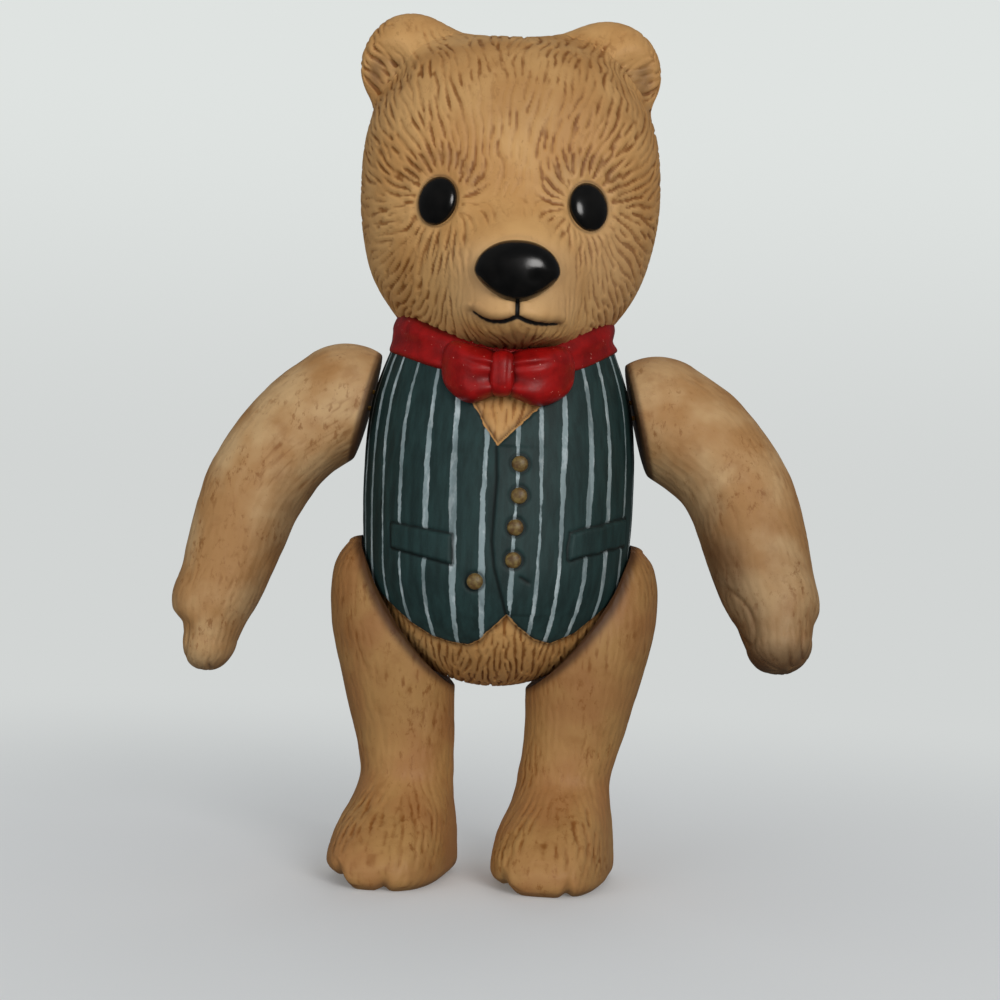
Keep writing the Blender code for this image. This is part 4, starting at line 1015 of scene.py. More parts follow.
def ear_relief(points, side):
    """The points of an ear's front pressed back in its hollow and brought forwards on its pad."""
    shaped = points.copy()
    shaped[..., 1] += HOLLOW_DEPTH * hollow_share(points, side) - PAD_OUT * pad_share(points, side)
    return shaped


def melted(first, second, width):
    """The smaller of two distances, with a fillet of about the given width where they meet."""
    near = np.maximum(width - np.abs(first - second), 0.0) / width
    return np.minimum(first, second) - near * near * width / 4


def eared_distance(points, side):
    """Distance to the head with one ear melted on, with the wider fillet at its side towards the crown."""
    centre, _, sideways = ear_frame(side)
    inwards = (points - centre) @ sideways * side
    width = EAR_FILLET * (0.45 + 0.55 * ease(-3.0, 3.0, inwards))
    return melted(head_distance(points), ear_distance(points, side), width)


def steepest(points, side):
    """The outward way at each point: differences of the distance over a small step along each axis."""
    rises = (eared_distance(points + s, side) - eared_distance(points - s, side) for s in 0.05 * np.eye(3))
    return unit(vectors(*rises))


def laid(points, side, own, other):
    """The points laid on the eared head. Where the other piece's distance is the smaller one, they sink
    under its skin, and deep inside they move only to stay under it."""
    for _ in range(8):
        past = np.maximum(own(points) - other(points), 0.0)
        error = eared_distance(points, side) + np.minimum(0.6 * past, 1.1)
        error = np.where(past < 2.5, error, np.maximum(error, 0.0))
        points = points - steepest(points, side) * np.clip(error, -1.2, 1.2)[..., None] * 0.9
    return points


def eye_distance(x, z, centre_x, side):
    """Distance from an eye's middle in shares of its half-sizes, with the eye leaning inwards at its top."""
    dx, dz = x - centre_x, z - EYE_Z
    along = dx * math.cos(EYE_LEAN) + side * dz * math.sin(EYE_LEAN)
    up = dz * math.cos(EYE_LEAN) - side * dx * math.sin(EYE_LEAN)
    return np.hypot(along / EYE_HALF_WIDTH, up / EYE_HALF_HEIGHT)


def head_flow(place):
    """The way the hair runs on the head: away from between the eyes, out from each eye near it, up each
    ear, and down the sides and the back."""
    x, y, z = place[..., 0], place[..., 1] - AXIS_Y, place[..., 2]
    across, behind, up = (now - start for now, start in zip((x, y, z), HAIR_START))
    way = unit(vectors(across * (1 - 0.45 * ease(86.0, 96.0, z) * (y < 0)), behind, up))
    way[..., 2] -= 0.9 * ease(-6.0, 6.0, y)
    for centre in EYE_CENTRES:
        out = vectors(x - centre, 0.0, (z - EYE_Z) * 0.9)
        near = hump(np.linalg.norm(out, axis=-1) / 6.0) * (y < 0)
        way = way + unit(out) * near[..., None] * 4.0
    chin = ease(68.0, 65.5, z) * (y < -4)
    way[..., 2] -= 2.0 * chin
    way[..., 0] += lumps(place, (0.7, 3.0, 44))
    way[..., 2] += lumps(place, (0.5, 3.4, 45))
    return way


def nose_share(up):
    """The nose's width as a share of its widest: drawn in a little above and to a narrow foot below."""
    return 1 - 0.50 * np.clip(-up, 0, 1) ** 1.4 - 0.14 * np.clip(up, 0, 1) ** 1.5


def head_grid():
    """The plain head with its ears melted on, and the way that each point lies from its middle. The rows
    are closest round the mouth and the columns in front."""

    def rows_wanted(t):
        return 0.50 + ease(0.35, 0.8, t) + 0.9 * hump((t - 2.55) / 0.16)

    turn = graded(-math.pi, math.pi, HEAD_COLUMNS + 1, lambda t: 0.66 + ease(1.75, 1.15, np.abs(t)))[:-1]
    turns, tilts = np.meshgrid(turn, graded(0.035, math.pi - 0.035, HEAD_ROWS, rows_wanted))
    directions = vectors(np.sin(tilts) * np.sin(turns), -np.sin(tilts) * np.cos(turns), np.cos(tilts))
    skin = head_block(directions)
    for side, _ in SIDES:
        near = (ear_distance(skin, side) < EAR_FILLET * 1.3) & (skin[..., 2] > EAR_ZS[side] - 16)
        on_ear = laid(skin[near], side, head_distance, lambda points: ear_distance(points, side))
        skin[near] = ear_relief(on_ear, side)
    return directions, skin


def mouth_distance(x, z, ahead):
    """Distance in the front view to the mouth line and to the line from it up to the nose."""
    mouth_xs = np.linspace(MOUTH_XS[0], MOUTH_XS[-1], 28)
    mouth_line = tuple(zip(mouth_xs, smooth_through(MOUTH_XS, MOUTH_ZS, mouth_xs)))
    mouth = np.minimum(distance_to_line(x, z, mouth_line), distance_to_line(x, z, PHILTRUM_LINE))
    return np.where(ahead > 0.9, mouth, FAR)


def head_skin(sizes):
    """The head: the rounded block with eye hollows, nose bed, mouth and hair lines worked into it along its
    normals."""
    directions, skin = head_grid()
    normals = grid_normals(skin, (0, AXIS_Y, HEAD_Z))
    x, z = skin[..., 0], skin[..., 2]
    ahead = ease(0.0, 0.25, directions[..., 1] * -1)
    out = np.zeros_like(x)
    eye_ring = np.full_like(x, FAR)
    for (side, _), centre in zip(SIDES, EYE_CENTRES):
        reach = eye_distance(x, z, centre, side)
        out -= ahead * EYE_HOLLOW_DEPTH * hump(reach / 1.18, power=6)
        out += ahead * EYE_RIM_HEIGHT * hump((reach - 1.45) / 0.22)
        eye_ring = np.where(ahead > 0.5, np.minimum(eye_ring, reach), eye_ring)
    mouth = mouth_distance(x, z, ahead)
    out -= MOUTH_DEPTH * hump(mouth / 0.30)
    out += LIP_HEIGHT * hump((mouth - 1.0) / 0.55) * (z < 70.0)
    bridge = hump((x - 0.8) / 3.4) * ease(74.0, 79.0, z) * ease(90.0, 84.0, z) * ahead
    out += BRIDGE_HEIGHT * bridge
    for centre, height in MUZZLE_PADS:
        out += height * hump((x - centre) / 2.7, (z - MUZZLE_PADS_Z) / 1.7, power=2.4) * ahead
    lips = hump((x - 1.3) / 6.0, (z - MUZZLE_PADS_Z) / 2.9, power=3.5)
    snout = hump((x - 1.2) / 6.3, (z - 74.2) / 5.2, power=4)
    smooth = np.clip(np.maximum(lips, snout) + 0.6 * bridge, 0, 1) * ahead
    smooth = np.maximum(smooth, ease(1.32, 1.12, eye_ring))
    calm = hump((x - 0.5) / 8.0, (z - 95.0) / 8.0) * ahead
    brows = hump((eye_ring - 1.85) / 0.55) * ahead
    over_eyes = brows * ease(EYE_Z - 1.0, EYE_Z + 2.5, z)
    hair = hair_lines(skin, normals, head_flow, sizes.fur_pitch / MM, 1.35, 3)
    hair = hair * np.maximum(worn(skin), over_eyes)
    hair = np.clip(hair * (1 - smooth) * (1 - 0.30 * calm) * (1 + 0.5 * brows + 1.5 * over_eyes), 0, 1)
    out += lumps(skin, HEAD_LUMPS) * (1 - smooth * 0.6) - sizes.fur_depth / MM * hair
    skin = skin + normals * out[..., None]
    above_nose = (z - NOSE_Z) / NOSE_HALF_HEIGHT
    nearest_nose = np.hypot((x - NOSE_X) / (NOSE_HALF_WIDTH * nose_share(above_nose)), above_nose)
    # Painted shade: thin dark rings round the eyes and the nose, shade about the mouth, under the chin,
    # towards the crown and above the eyes.
    gathered = (
        0.6 * hump((eye_ring - 1.04) / 0.08),
        0.25 * hump((nearest_nose - 1.06) / 0.10) * ahead,
        0.5 * hump(mouth / 0.7),
        0.55 * ease(68.0, 65.3, z),
        0.21 * ease(86.0, 95.0, z) * ahead,
        0.28 * over_eyes,
    )
    # Painted light: a paler muzzle and a lit patch on the bear's left cheek.
    muzzle = hump((x - 1.4) / 8.5, (z - 72.8) / 4.6, power=4)
    lit_cheek = 0.7 * hump((x - 12.0) / 5.5, (z - 75.0) / 8.0)
    marks = {
        "painted_light": np.maximum(muzzle, lit_cheek) * ahead,
        "groove": hair,
        "painted_shade": np.clip(np.maximum.reduce(gathered), 0, 1),
        "mouth": mouth + 0.16 * ((x - 1.2) / 5.2) ** 2,
    }
    return skin, marks


def rounded_form(centre, half_sizes, rows=40, columns=48, power=2.0):
    """An egg or rounded block about a centre, with its poles above and below."""
    turns, tilts = np.meshgrid(full_turn(columns), np.linspace(0.04, math.pi - 0.04, rows))
    d = vectors(np.sin(tilts) * np.cos(turns), np.sin(tilts) * np.sin(turns), np.cos(tilts))
    size = (np.abs(d) ** power).sum(axis=-1, keepdims=True) ** (-1 / power)
    return d, d * size * np.asarray(half_sizes) + np.asarray(centre)


def ear_skin(side, sizes):
    """An ear: points all round its pad, laid on the eared head. Hair runs up it, and out and down in its
    hollow, and the pad above the hollow is smooth."""
    centre, along, sideways = ear_frame(side)
    turns, tilts = np.meshgrid(full_turn(EAR_COLUMNS), np.linspace(0.03, math.pi - 0.03, EAR_ROWS))
    across, deep, place = np.sin(tilts) * np.sin(turns), -np.cos(tilts), np.sin(tilts) * np.cos(turns)
    place = np.where(place < 0, place * EAR_ROOT_LENGTH, place * EAR_RADII[side])
    wide, thick = ear_sizes(place, across * side, side)
    skin = centre + along * place[..., None] + sideways * (across * wide)[..., None]
    skin[..., 1] += deep * thick
    skin = laid(skin, side, lambda points: ear_distance(points, side), head_distance)
    inside = hollow_share(skin, side)
    skin = ear_relief(skin, side)
    normals = grid_normals(skin, centre)
    local = skin - centre
    pad = ease(3.0, 5.5, local[..., 2] - 0.25 * side * local[..., 0]) * (1 - inside)
    pad = np.maximum(pad, ease(0.35, 0.75, pad_share(skin, side)))

    def flow(points):
        hollowed = hollow_share(points + (0.0, -3.0, 0.0), side)[..., None]
        outwards = np.array((-0.9 * side, 0.0, -0.55 + 0.2 * side))
        return head_flow(points) * (1 - hollowed) + outwards * hollowed * 20

    hair = hair_lines(skin, normals, flow, sizes.fur_pitch / MM, 1.3, 3) * (1 - 0.85 * pad) * worn(skin)
    out = lumps(skin, HEAD_LUMPS) - sizes.fur_depth / MM * hair
    skin = skin + normals * out[..., None]
    shade = 0.50 * inside * (0.5 + solid_noise(skin, 2.0, 71)) * (1 - pad)
    return skin, {"groove": hair, "painted_shade": np.clip(shade, 0, 1)}


# Eyes and nose


def eye_form(side, centre_x):
    """A painted glass-like dome on the face: an egg set square to the face, leaning inwards at its top."""
    slope_x = float(face_depth(centre_x + 0.5, EYE_Z) - face_depth(centre_x - 0.5, EYE_Z))
    slope_z = float(face_depth(centre_x, EYE_Z + 0.5) - face_depth(centre_x, EYE_Z - 0.5))
    _, local = rounded_form((0, 0, 0), (EYE_HALF_WIDTH, EYE_HALF_DEPTH, EYE_HALF_HEIGHT), 40, 56)
    lean = side * EYE_LEAN
    x = local[..., 0] * math.cos(lean) - local[..., 2] * math.sin(lean)
    z = local[..., 0] * math.sin(lean) + local[..., 2] * math.cos(lean)
    y = local[..., 1] + x * slope_x + z * slope_z
    return vectors(x + centre_x, y + float(face_depth(centre_x, EYE_Z)) + 0.15, z + EYE_Z)


def nose_form():
    """The nose: a rounded block, wide and flat above, drawn in to a narrow foot, with two nostril dents."""
    _, local = rounded_form((0, 0, 0), (1, 1, 1), 70, 90, 2.5)
    up = local[..., 2]
    x = local[..., 0] * NOSE_HALF_WIDTH * nose_share(up)
    z = up * NOSE_HALF_HEIGHT - 0.25 * np.abs(local[..., 0]) ** 2 * np.clip(up, 0, 1)
    y = local[..., 1] * NOSE_HALF_DEPTH * (1 - 0.15 * np.clip(-up, 0, 1)) + 0.35 * up * (up < 0)
    for side, _ in SIDES:
        across = (x - side * NOSTRIL_PLACE[0]) / NOSTRIL_HALF_SIZES[0]
        above = (z - NOSTRIL_PLACE[1]) / NOSTRIL_HALF_SIZES[1]
        y = y + NOSTRIL_DEPTH * hump(across, above) * (local[..., 1] < 0)
    return vectors(x + NOSE_X, y + float(face_depth(MUZZLE_X, NOSE_Z)) + 0.7, z + NOSE_Z)


# Collar band, bow tie and buttons


def collar_band():
    """The collar band: a flattened oval section carried round the neck, dipping in front, with a few soft
    lengthwise folds."""
    turns, sections = np.meshgrid(full_turn(360), full_turn(56), indexing="ij")
    forward, at_side = np.cos(turns), np.sin(turns)
    height = COLLAR_Z - np.where(forward > 0, COLLAR_DIP_FRONT, COLLAR_RISE_BACK) * forward * np.abs(forward)
    out = signed_power(np.cos(sections), 0.75)
    up = signed_power(np.sin(sections), 0.8)
    folds = 0.16 * np.sin(up * 5.0 + 0.8 * np.sin(turns * 3)) + 0.10 * np.sin(turns * 7 + up * 2)
    rise = COLLAR_HALF_HEIGHT + 0.75 * np.abs(at_side) ** 3
    fall = COLLAR_HALF_HEIGHT - 0.25 * np.abs(at_side) ** 3 - 0.5 * at_side**3
    level = np.minimum(height + fall * np.minimum(up, 0.0), TORSO_HEIGHTS[-1])
    skin = on_torso(turns, level)
    half_width, _, _ = torso_sizes(level)
    thick = (COLLAR_THICKNESS - COLLAR_SUNK) * out + folds * (out > 0) - COLLAR_SUNK * np.abs(at_side)
    share = 1 + thick / half_width
    y = AXIS_Y + (skin[..., 1] - AXIS_Y) * share
    points = vectors(skin[..., 0] * share, y, height + np.where(up < 0, fall, rise) * up)
    # Painted shade: darker along the band's top and bottom edges and in the hollows of its folds.
    painted_shade = ease(0.55, 1.0, np.abs(up)) * 0.6 + 0.3 * ease(0.05, -0.10, folds)
    return points, {"painted_shade": painted_shade}


def bow_wing(side):
    """A bow wing: a puffed section that grows from the knot and closes in a blunt end, with folds that fan
    out from the knot."""
    t, a = np.meshgrid(np.linspace(0, 1, 90), full_turn(120), indexing="ij")
    closing = (1 - np.clip((t - 0.55) / 0.45, 0, 1) ** 3.5) ** 0.45 * np.sqrt(ease(-0.06, 0.06, t))
    out = signed_power(np.cos(a), 0.8)
    up = signed_power(np.sin(a), 0.8)
    half_height = 2.4 + 0.9 * np.sin(math.pi / 2 * np.clip(t / 0.5, 0, 1))
    half_height = (half_height + 0.45 * hump((t - 0.55) / 0.25) * (up < 0)) * closing
    half_depth = (2.1 + 1.1 * np.sin(math.pi * t)) * closing
    fold = 0.50 * np.cos(up * 5.0 + 1.0) * hump(t / 0.55) + 0.18 * np.cos(up * 3.4 + 1.2) * t
    fold = fold + 0.45 * hump((up - 0.22 - 0.2 * t) / 0.14) * ease(0.85, 0.35, t)
    x = BOW_X + side * (0.3 + BOW_LENGTHS[side] * t)
    y = AXIS_Y - BOW_OUT + 2.6 * t**2 - half_depth * out + fold * (out > 0) * out
    z = BOW_Z + (BOW_ENDS_Z[side] - BOW_Z) * ease(0.35, 1.0, t) + half_height * up
    # Painted shade: darker in the hollows of the folds and where the wing leaves the knot.
    painted_shade = np.clip(ease(0.10, 0.50, fold) * 0.5 * (out > 0) + ease(0.24, 0.06, t) * 0.8, 0, 1)
    return vectors(x, y, z), {"painted_shade": painted_shade}


def bow_knot():
    """The bow's knot: a narrow upright tuck with two shallow creases."""
    d, points = rounded_form((BOW_X, AXIS_Y - KNOT_OUT, BOW_Z), KNOT_HALF_SIZES, 60, 70, 3.0)
    for crease in (-0.35, 0.4):
        points[..., 1] += 0.16 * hump((d[..., 0] - crease) / 0.13) * (d[..., 1] < 0)
    # Painted shade: darker towards the knot's sides, where the wings meet it.
    return points, {"painted_shade": 0.75 * ease(0.5, 0.95, np.abs(d[..., 0]))}


def button_form(x, z):
    """A small domed button on the waistcoat's front."""
    half_width, front, _ = torso_sizes(np.array(z))
    y = AXIS_Y - float(front + 0.35) * math.sqrt(1 - (x / float(half_width + 0.35)) ** 2)
    radius = 0.98 * BUTTON_RADIUS
    return rounded_form((x, y - 0.05, z), (radius, BUTTON_DOME, radius), 24, 32)[1]


# Arms and legs


def shoulder_place(side):
    """The shoulder joint and its outward axis, read from the record."""
    name = "left_shoulder" if side > 0 else "right_shoulder"
    joint = next(j for j in frame["joints"] if j["name"] == name)
    axis = np.array((side * math.cos(SHOULDER_TILT), 0.0, math.sin(SHOULDER_TILT)))
    return np.array(joint["pos_m"]) * 1000, axis


def turned_about(points, centre, axis, angle):
    """The points turned about an axis through the centre: Rodrigues' rotation."""
    arm = points - centre
    return (
        centre
        + arm * math.cos(angle)
        + np.cross(axis, arm) * math.sin(angle)
        + axis * (arm @ axis)[..., None] * (1 - math.cos(angle))
    )


def arm_rings(side, joint):
    """The arm's middle line, the way along it, and plain rings of skin square to it, from the dome on top to
    the tip of the paw."""
    stations = np.arange(len(ARM_SHARES))
    t = np.linspace(0, stations[-1], ARM_ROWS)
    reach, drop, across, deep = (smooth_through(stations, column, t) for column in ARM_SHARES.T)
    inwards = LOWER_ARM_INWARDS[side] * ease(0.1, 0.75, drop)
    across = across + LOWER_ARM_BROADER[side] * ease(0.20, 0.55, drop)
    line = joint + vectors(side * (reach * ARM_REACH - inwards), -ARM_FORWARD * reach**2, -drop * ARM_DROP)
    way = unit(np.gradient(line, axis=0))
    dome = np.radians(np.linspace(3, 88, ARM_END_ROWS))
    top = line[0] - way[0] * across[0] * np.cos(dome)[:, None]
    tip = (line[-1] + way[-1] * (PAW_LENGTH + PAW_LONGER[side]) * np.cos(dome)[:, None])[::-1]
    middle = np.concatenate((top, line, tip))
    ways = np.concatenate((np.repeat(way[:1], ARM_END_ROWS, 0), way, np.repeat(way[-1:], ARM_END_ROWS, 0)))
    blunt = np.sin(dome)[::-1] ** 0.8
    across, deep = (np.concatenate((s[0] * np.sin(dome), s, s[-1] * blunt))[:, None] for s in (across, deep))
    sideways = unit(np.cross(ways, (0.0, 1.0, 0.0)))
    third = np.cross(sideways, ways)
    turn = full_turn(ARM_COLUMNS)
    skin = middle[:, None] + sideways[:, None] * (across * np.cos(turn))[..., None]
    skin = skin + third[:, None] * (deep * np.sin(turn))[..., None]
    return middle[:, None], ways[:, None], skin


def arm_skin(side, sizes):
    """An arm: rings square to a bent middle line, closed by a dome above and the paw below, then flattened
    against the seat plane. The paw has a thumb pad and finger lines."""
    joint, axis = shoulder_place(side)
    middle, ways, skin = arm_rings(side, joint)
    normals = grid_normals(skin, middle.mean(axis=(0, 1)))

    def bent(place):
        return ways + lumps(place, (0.4, 4, 80))[..., None]

    hair = hair_lines(skin, normals, bent, LIMB_STROKE_PITCH, LIMB_STROKE_REACH, 90 + side)
    steps = np.linalg.norm(np.diff(middle[:, 0], axis=0), axis=1)
    travelled = np.concatenate(([0], np.cumsum(steps)))[:, None]
    from_tip = travelled[-1] - travelled + np.zeros_like(hair)
    inner = (middle[..., 0] - skin[..., 0]) * side
    ahead = middle[..., 1] - skin[..., 1]
    under = middle[..., 2] - skin[..., 2]
    outer = ease(0.0, -4.5, inner)
    fingers = np.zeros_like(from_tip)
    for offset, length in FINGER_LINES[side]:
        line_share = hump((inner - offset) / 0.30) * ease(length, length - 2.0, from_tip)
        fingers = np.maximum(fingers, line_share * ease(0.3, 1.5, ahead))
    thumb = np.hypot((from_tip - 7.2) / 4.0, (ahead - 2.2) / 1.7)
    thumb_line = hump((thumb - 1.0) / 0.12) * ease(0.5, 2.0, inner) * (side > 0)
    heel = PAW_HEEL[side] * hump((from_tip - 8.4) / 1.7) * outer
    step_in = PAW_STEP[side] * ease(7.2, 5.2, from_tip) * outer
    tuck = SEAT_TUCK[side] * ease(2.0, 7.0, under) * ease(7.0, 1.0, (skin - joint) @ axis)
    out = lumps(skin, (0.25, 6.0, 95), (0.10, 1.8, 96)) + heel - step_in - tuck
    out = out - sizes.limb_stroke_depth / MM * hair - FINGER_DEPTH * fingers - THUMB_LINE_DEPTH * thumb_line
    skin = skin + normals * out[..., None]
    past = (skin - joint) @ axis
    pressed = 0.5 * (past + np.sqrt(past**2 + SEAT_ROUNDING**2)) - past
    skin = skin + axis * np.where(past < 3.0, pressed, 0.0)[..., None]
    patchy = ease(0.45, 0.8, solid_noise(skin, 4.0, 97))
    shaded = 0.40 * ease(0.5, 5.5, inner) * (0.6 + 0.6 * solid_noise(skin, 3.0, 98))
    shaded = shaded + (side > 0) * (0.24 * ease(26.0, 12.0, from_tip) + 0.12 * ease(9.0, 3.0, from_tip))
    shaded = shaded + 0.06 + 0.25 * ease(3.5, 0.5, from_tip) + 0.6 * ease(0.9, 0.2, past)
    marks = {
        "groove": np.clip(hair * (0.04 + 0.60 * patchy) + 0.55 * fingers + 0.5 * thumb_line, 0, 1),
        "painted_shade": np.clip(shaded, 0, 0.85),
    }
    return turned_about(skin, joint, axis, -side * REST_SWING[side]), marks


def leg_sections():
    """Height, side offset, half-width, front depth and back depth of each ring: the sole's from its middle
    outwards, then the leg's, then those of the dome on top."""
    top_z = LEG_RINGS[-1, 0]
    low, high = LEG_ROW_LEVELS
    spans = ((0.0, low), (low, high))
    rows = [np.linspace(*span, count, endpoint=False) for span, count in zip(spans, LEG_ROWS)]
    heights = np.concatenate((*rows, np.linspace(high, top_z, LEG_ROWS[-1])))
    offset, *sizes = (smooth_through(LEG_RINGS[:, 0], column, heights) for column in LEG_RINGS.T[1:])
    sole = np.linspace(0.06, 0.97, SOLE_ROWS)
    dome = np.radians(np.linspace(84, 4, THIGH_DOME_ROWS))
    to_top = np.linspace(offset[-1], LEG_TOP[0], THIGH_DOME_ROWS)
    heights = np.concatenate((0 * sole, heights, top_z + (LEG_TOP[1] - top_z) * np.cos(dome)))
    offset = np.concatenate((0 * sole + offset[0], offset, to_top))
    sizes = [np.concatenate((size[0] * sole, size, size[-1] * np.sin(dome))) for size in sizes]
    return (section[:, None] for section in (heights, offset, *sizes))


def leg_flow(place):
    """The way the hair runs on a leg: down it, and forwards on the foot."""
    return vectors(lumps(place, (0.2, 4.0, 81)), -0.9 * ease(12, 6, place[..., 2]), -1.0)


def leg_skin(side, sizes):
    """A leg: level rings through the stations, squarer at the foot and turned a little at the toes, dished
    where it lies on the body's ball. The foot has toe lines."""
    heights, offset, across, front, back = leg_sections()
    turn = full_turn(LEG_COLUMNS)
    c, s = np.cos(turn), np.sin(turn)
    foot = np.clip((FOOT_TOP - heights) / 6.0, 0, 1)
    power = 2.0 / (2.0 + (FOOT_SQUARENESS - 2.0) * foot * (s < 0))
    x = across * signed_power(c, power)
    y = np.where(s < 0, front, back) * signed_power(s, power)
    toe_angle = TOE_TURN * np.clip((FOOT_TOP - heights) / 5.0, 0, 1)
    turned_x = x * np.cos(toe_angle) - y * np.sin(toe_angle)
    turned_y = x * np.sin(toe_angle) + y * np.cos(toe_angle)
    z = heights + np.zeros_like(turn)
    low = ease(18.0, 2.0, z)
    across_share = x / (across + 0.4)
    turned_x = turned_x * (1 - 0.04 * low) - 0.5 * low
    turned_x = turned_x - TOE_REACHES[side] * ease(13.0, 4.0, z) * ease(0.2, -0.8, across_share)
    skin = vectors(side * offset + turned_x, AXIS_Y + turned_y, z)
    normals = grid_normals(skin, (side * 11, AXIS_Y, 20))
    hair = hair_lines(skin, normals, leg_flow, LIMB_STROKE_PITCH, LIMB_STROKE_REACH, 100 + side)
    ahead = ease(4.0, 9.0, -y)
    toes = np.zeros_like(z)
    for share in TOE_LINES[side]:
        toes = np.maximum(toes, hump((x - share * (across + 0.4)) / 0.60))
    toes = toes * ahead * ease(8.5, 4.5, z)
    tufts = ease(0.50, 0.95, hair_lines(skin, normals, leg_flow, 1.15, 1.9, 110 + side))
    tufts = tufts * ahead * ease(1.5, 4.0, z) * ease(12.5, 9.0, z)
    standing = ease(0.0, 1.0, z)
    uneven = lumps(skin, (0.30, 6.0, 105), (0.10, 1.8, 106))
    out = (uneven - sizes.limb_stroke_depth / MM * hair - TUFT_DEPTH * tufts) * standing
    skin = skin + normals * out[..., None]
    level_way = unit(vectors(turned_x, turned_y))
    toe_depth = TOE_LINE_DEPTH + TOE_LINE_DEPTH_AT_SOLE * ease(3.0, 0.3, z)
    skin[..., :2] -= level_way * (toe_depth * toes)[..., None]
    outer_toe = ease(-0.25, -0.70, across_share) * ahead
    skin[..., 2] += (TOE_LIFTS[side] * outer_toe + 0.45 * toes) * ease(6.0, 0.0, z)
    middle = np.array((0.0, AXIS_Y, BALL_Z))
    from_ball = np.linalg.norm(skin - middle, axis=-1)
    past = from_ball - SEAT_RADIUS
    pressed = np.where(past < 2.0, 0.5 * (past + np.sqrt(past**2 + THIGH_SEAT_ROUNDING**2)), past)
    skin = middle + (skin - middle) * ((SEAT_RADIUS + pressed) / from_ball)[..., None]
    patchy = ease(0.42, 0.8, solid_noise(skin, 4.0, 107))
    beside_body = ease(1.4, 0.1, past) * ease(20.0, 26.0, z)
    shaded = 0.65 * beside_body + 0.30 * ease(1.2, 0.2, z) + 0.20 * ease(12, 20, z)
    marks = {
        "groove": np.clip(hair * (0.06 + 0.70 * patchy) + 0.16 * toes * standing + 0.55 * tufts, 0, 1),
        "painted_shade": np.clip(shaded, 0, 0.9),
    }
    return skin, marks


# Operators, one for each piece or group


class BEAR_OT_head(bpy.types.Operator):
    """Builds the head with its carved fur and painted mouth"""

    bl_idname = "bear.head"
    bl_label = "Head"

    def execute(self, context):
        skin, marks = head_skin(context.scene.bear_sizes)
        material = face_bisque(context.scene.bear_colours)
        mesh_piece("head", skin, material, marks, stands_for=("body_casting",))
        return {"FINISHED"}


class BEAR_OT_ears(bpy.types.Operator):
    """Builds both ears"""

    bl_idname = "bear.ears"
    bl_label = "Ears"

    def execute(self, context):
        colours = context.scene.bear_colours
        material = washed_bisque(colours, "washed bisque ears", 0.22, colours.tan, colours.pale_tan)
        for side, label in SIDES:
            skin, marks = ear_skin(side, context.scene.bear_sizes)
            mesh_piece(f"{label}_ear", skin, material, marks)
        return {"FINISHED"}


class BEAR_OT_face(bpy.types.Operator):
    """Builds the glossy black eyes and nose"""

    bl_idname = "bear.face"
    bl_label = "Eyes and nose"

    def execute(self, context):
        black = plain_paint("gloss black enamel", "#040404", "#0e0d0c", 0.20, 1.5, 0.012)
        for (side, label), centre in zip(SIDES, EYE_CENTRES):
            mesh_piece(f"{label}_eye", eye_form(side, centre), black)
        mesh_piece("nose", nose_form(), black)
        return {"FINISHED"}


class BEAR_OT_torso(bpy.types.Operator):
    """Builds the torso with its painted waistcoat and belly fur"""

    bl_idname = "bear.torso"
    bl_label = "Torso and waistcoat"

    def execute(self, context):
        skin, marks = torso_skin(context.scene.bear_sizes)
        material = waistcoat_bisque(context.scene.bear_colours)
        mesh_piece("torso", skin, material, marks)
        return {"FINISHED"}


class BEAR_OT_neckwear(bpy.types.Operator):
    """Builds the red collar band and bow tie"""

    bl_idname = "bear.neckwear"
    bl_label = "Collar and bow tie"

    def execute(self, context):
        red = red_enamel(context.scene.bear_colours)
        band, marks = collar_band()
        mesh_piece("collar_band", band, red, marks, hoop=True)
        for side, label in SIDES:
            points, marks = bow_wing(side)
            mesh_piece(f"{label}_bow_wing", points, red, marks)
        points, marks = bow_knot()
        mesh_piece("bow_knot", points, red, marks)
        return {"FINISHED"}


class BEAR_OT_buttons(bpy.types.Operator):
    """Builds the waistcoat's painted buttons"""

    bl_idname = "bear.buttons"
    bl_label = "Buttons"

    def execute(self, context):
        gold = plain_paint("brown gold button paint", "#5b4122", "#7f6b3b", 0.46, 0.5, 0.02)
        for number, (x, z) in enumerate(BUTTONS, start=1):
            mesh_piece(f"button_{number}", button_form(x, z), gold)
        return {"FINISHED"}


class BEAR_OT_arms(bpy.types.Operator):
    """Builds both arms with their paws"""

    bl_idname = "bear.arms"
    bl_label = "Arms"

    def execute(self, context):
        colours = context.scene.bear_colours
        material = washed_bisque(colours, "washed bisque arms", 0.42, colours.arm_tan, colours.arm_pale)
        for side, label in SIDES:
            limb = f"{label}_arm"
            skin, marks = arm_skin(side, context.scene.bear_sizes)
            mesh_piece(f"{limb}_skin", skin, material, marks, limb, (limb,))
        return {"FINISHED"}


class BEAR_OT_legs(bpy.types.Operator):
    """Builds both legs with their feet"""

    bl_idname = "bear.legs"
    bl_label = "Legs"

    def execute(self, context):
        colours = context.scene.bear_colours
        material = washed_bisque(colours, "washed bisque legs", 0.45, colours.leg_shaded_tan, colours.leg_shaded_pale)
        for side, label in SIDES:
            limb = f"{label}_leg"
            skin, marks = leg_skin(side, context.scene.bear_sizes)
            mesh_piece(f"{limb}_skin", skin, material, marks, limb, (limb,))
        return {"FINISHED"}


def cut_across(form, place, normal, drop_behind=False):
    """Cuts a mesh by a plane and returns the cut's edges. What lies behind the plane can be dropped."""
    every_part = form.verts[:] + form.edges[:] + form.faces[:]
    plane = {"plane_co": place, "plane_no": normal}
    cut = bmesh.ops.bisect_plane(form, geom=every_part, clear_inner=drop_behind, **plane)
    return [part for part in cut["geom_cut"] if isinstance(part, bmesh.types.BMEdge)]


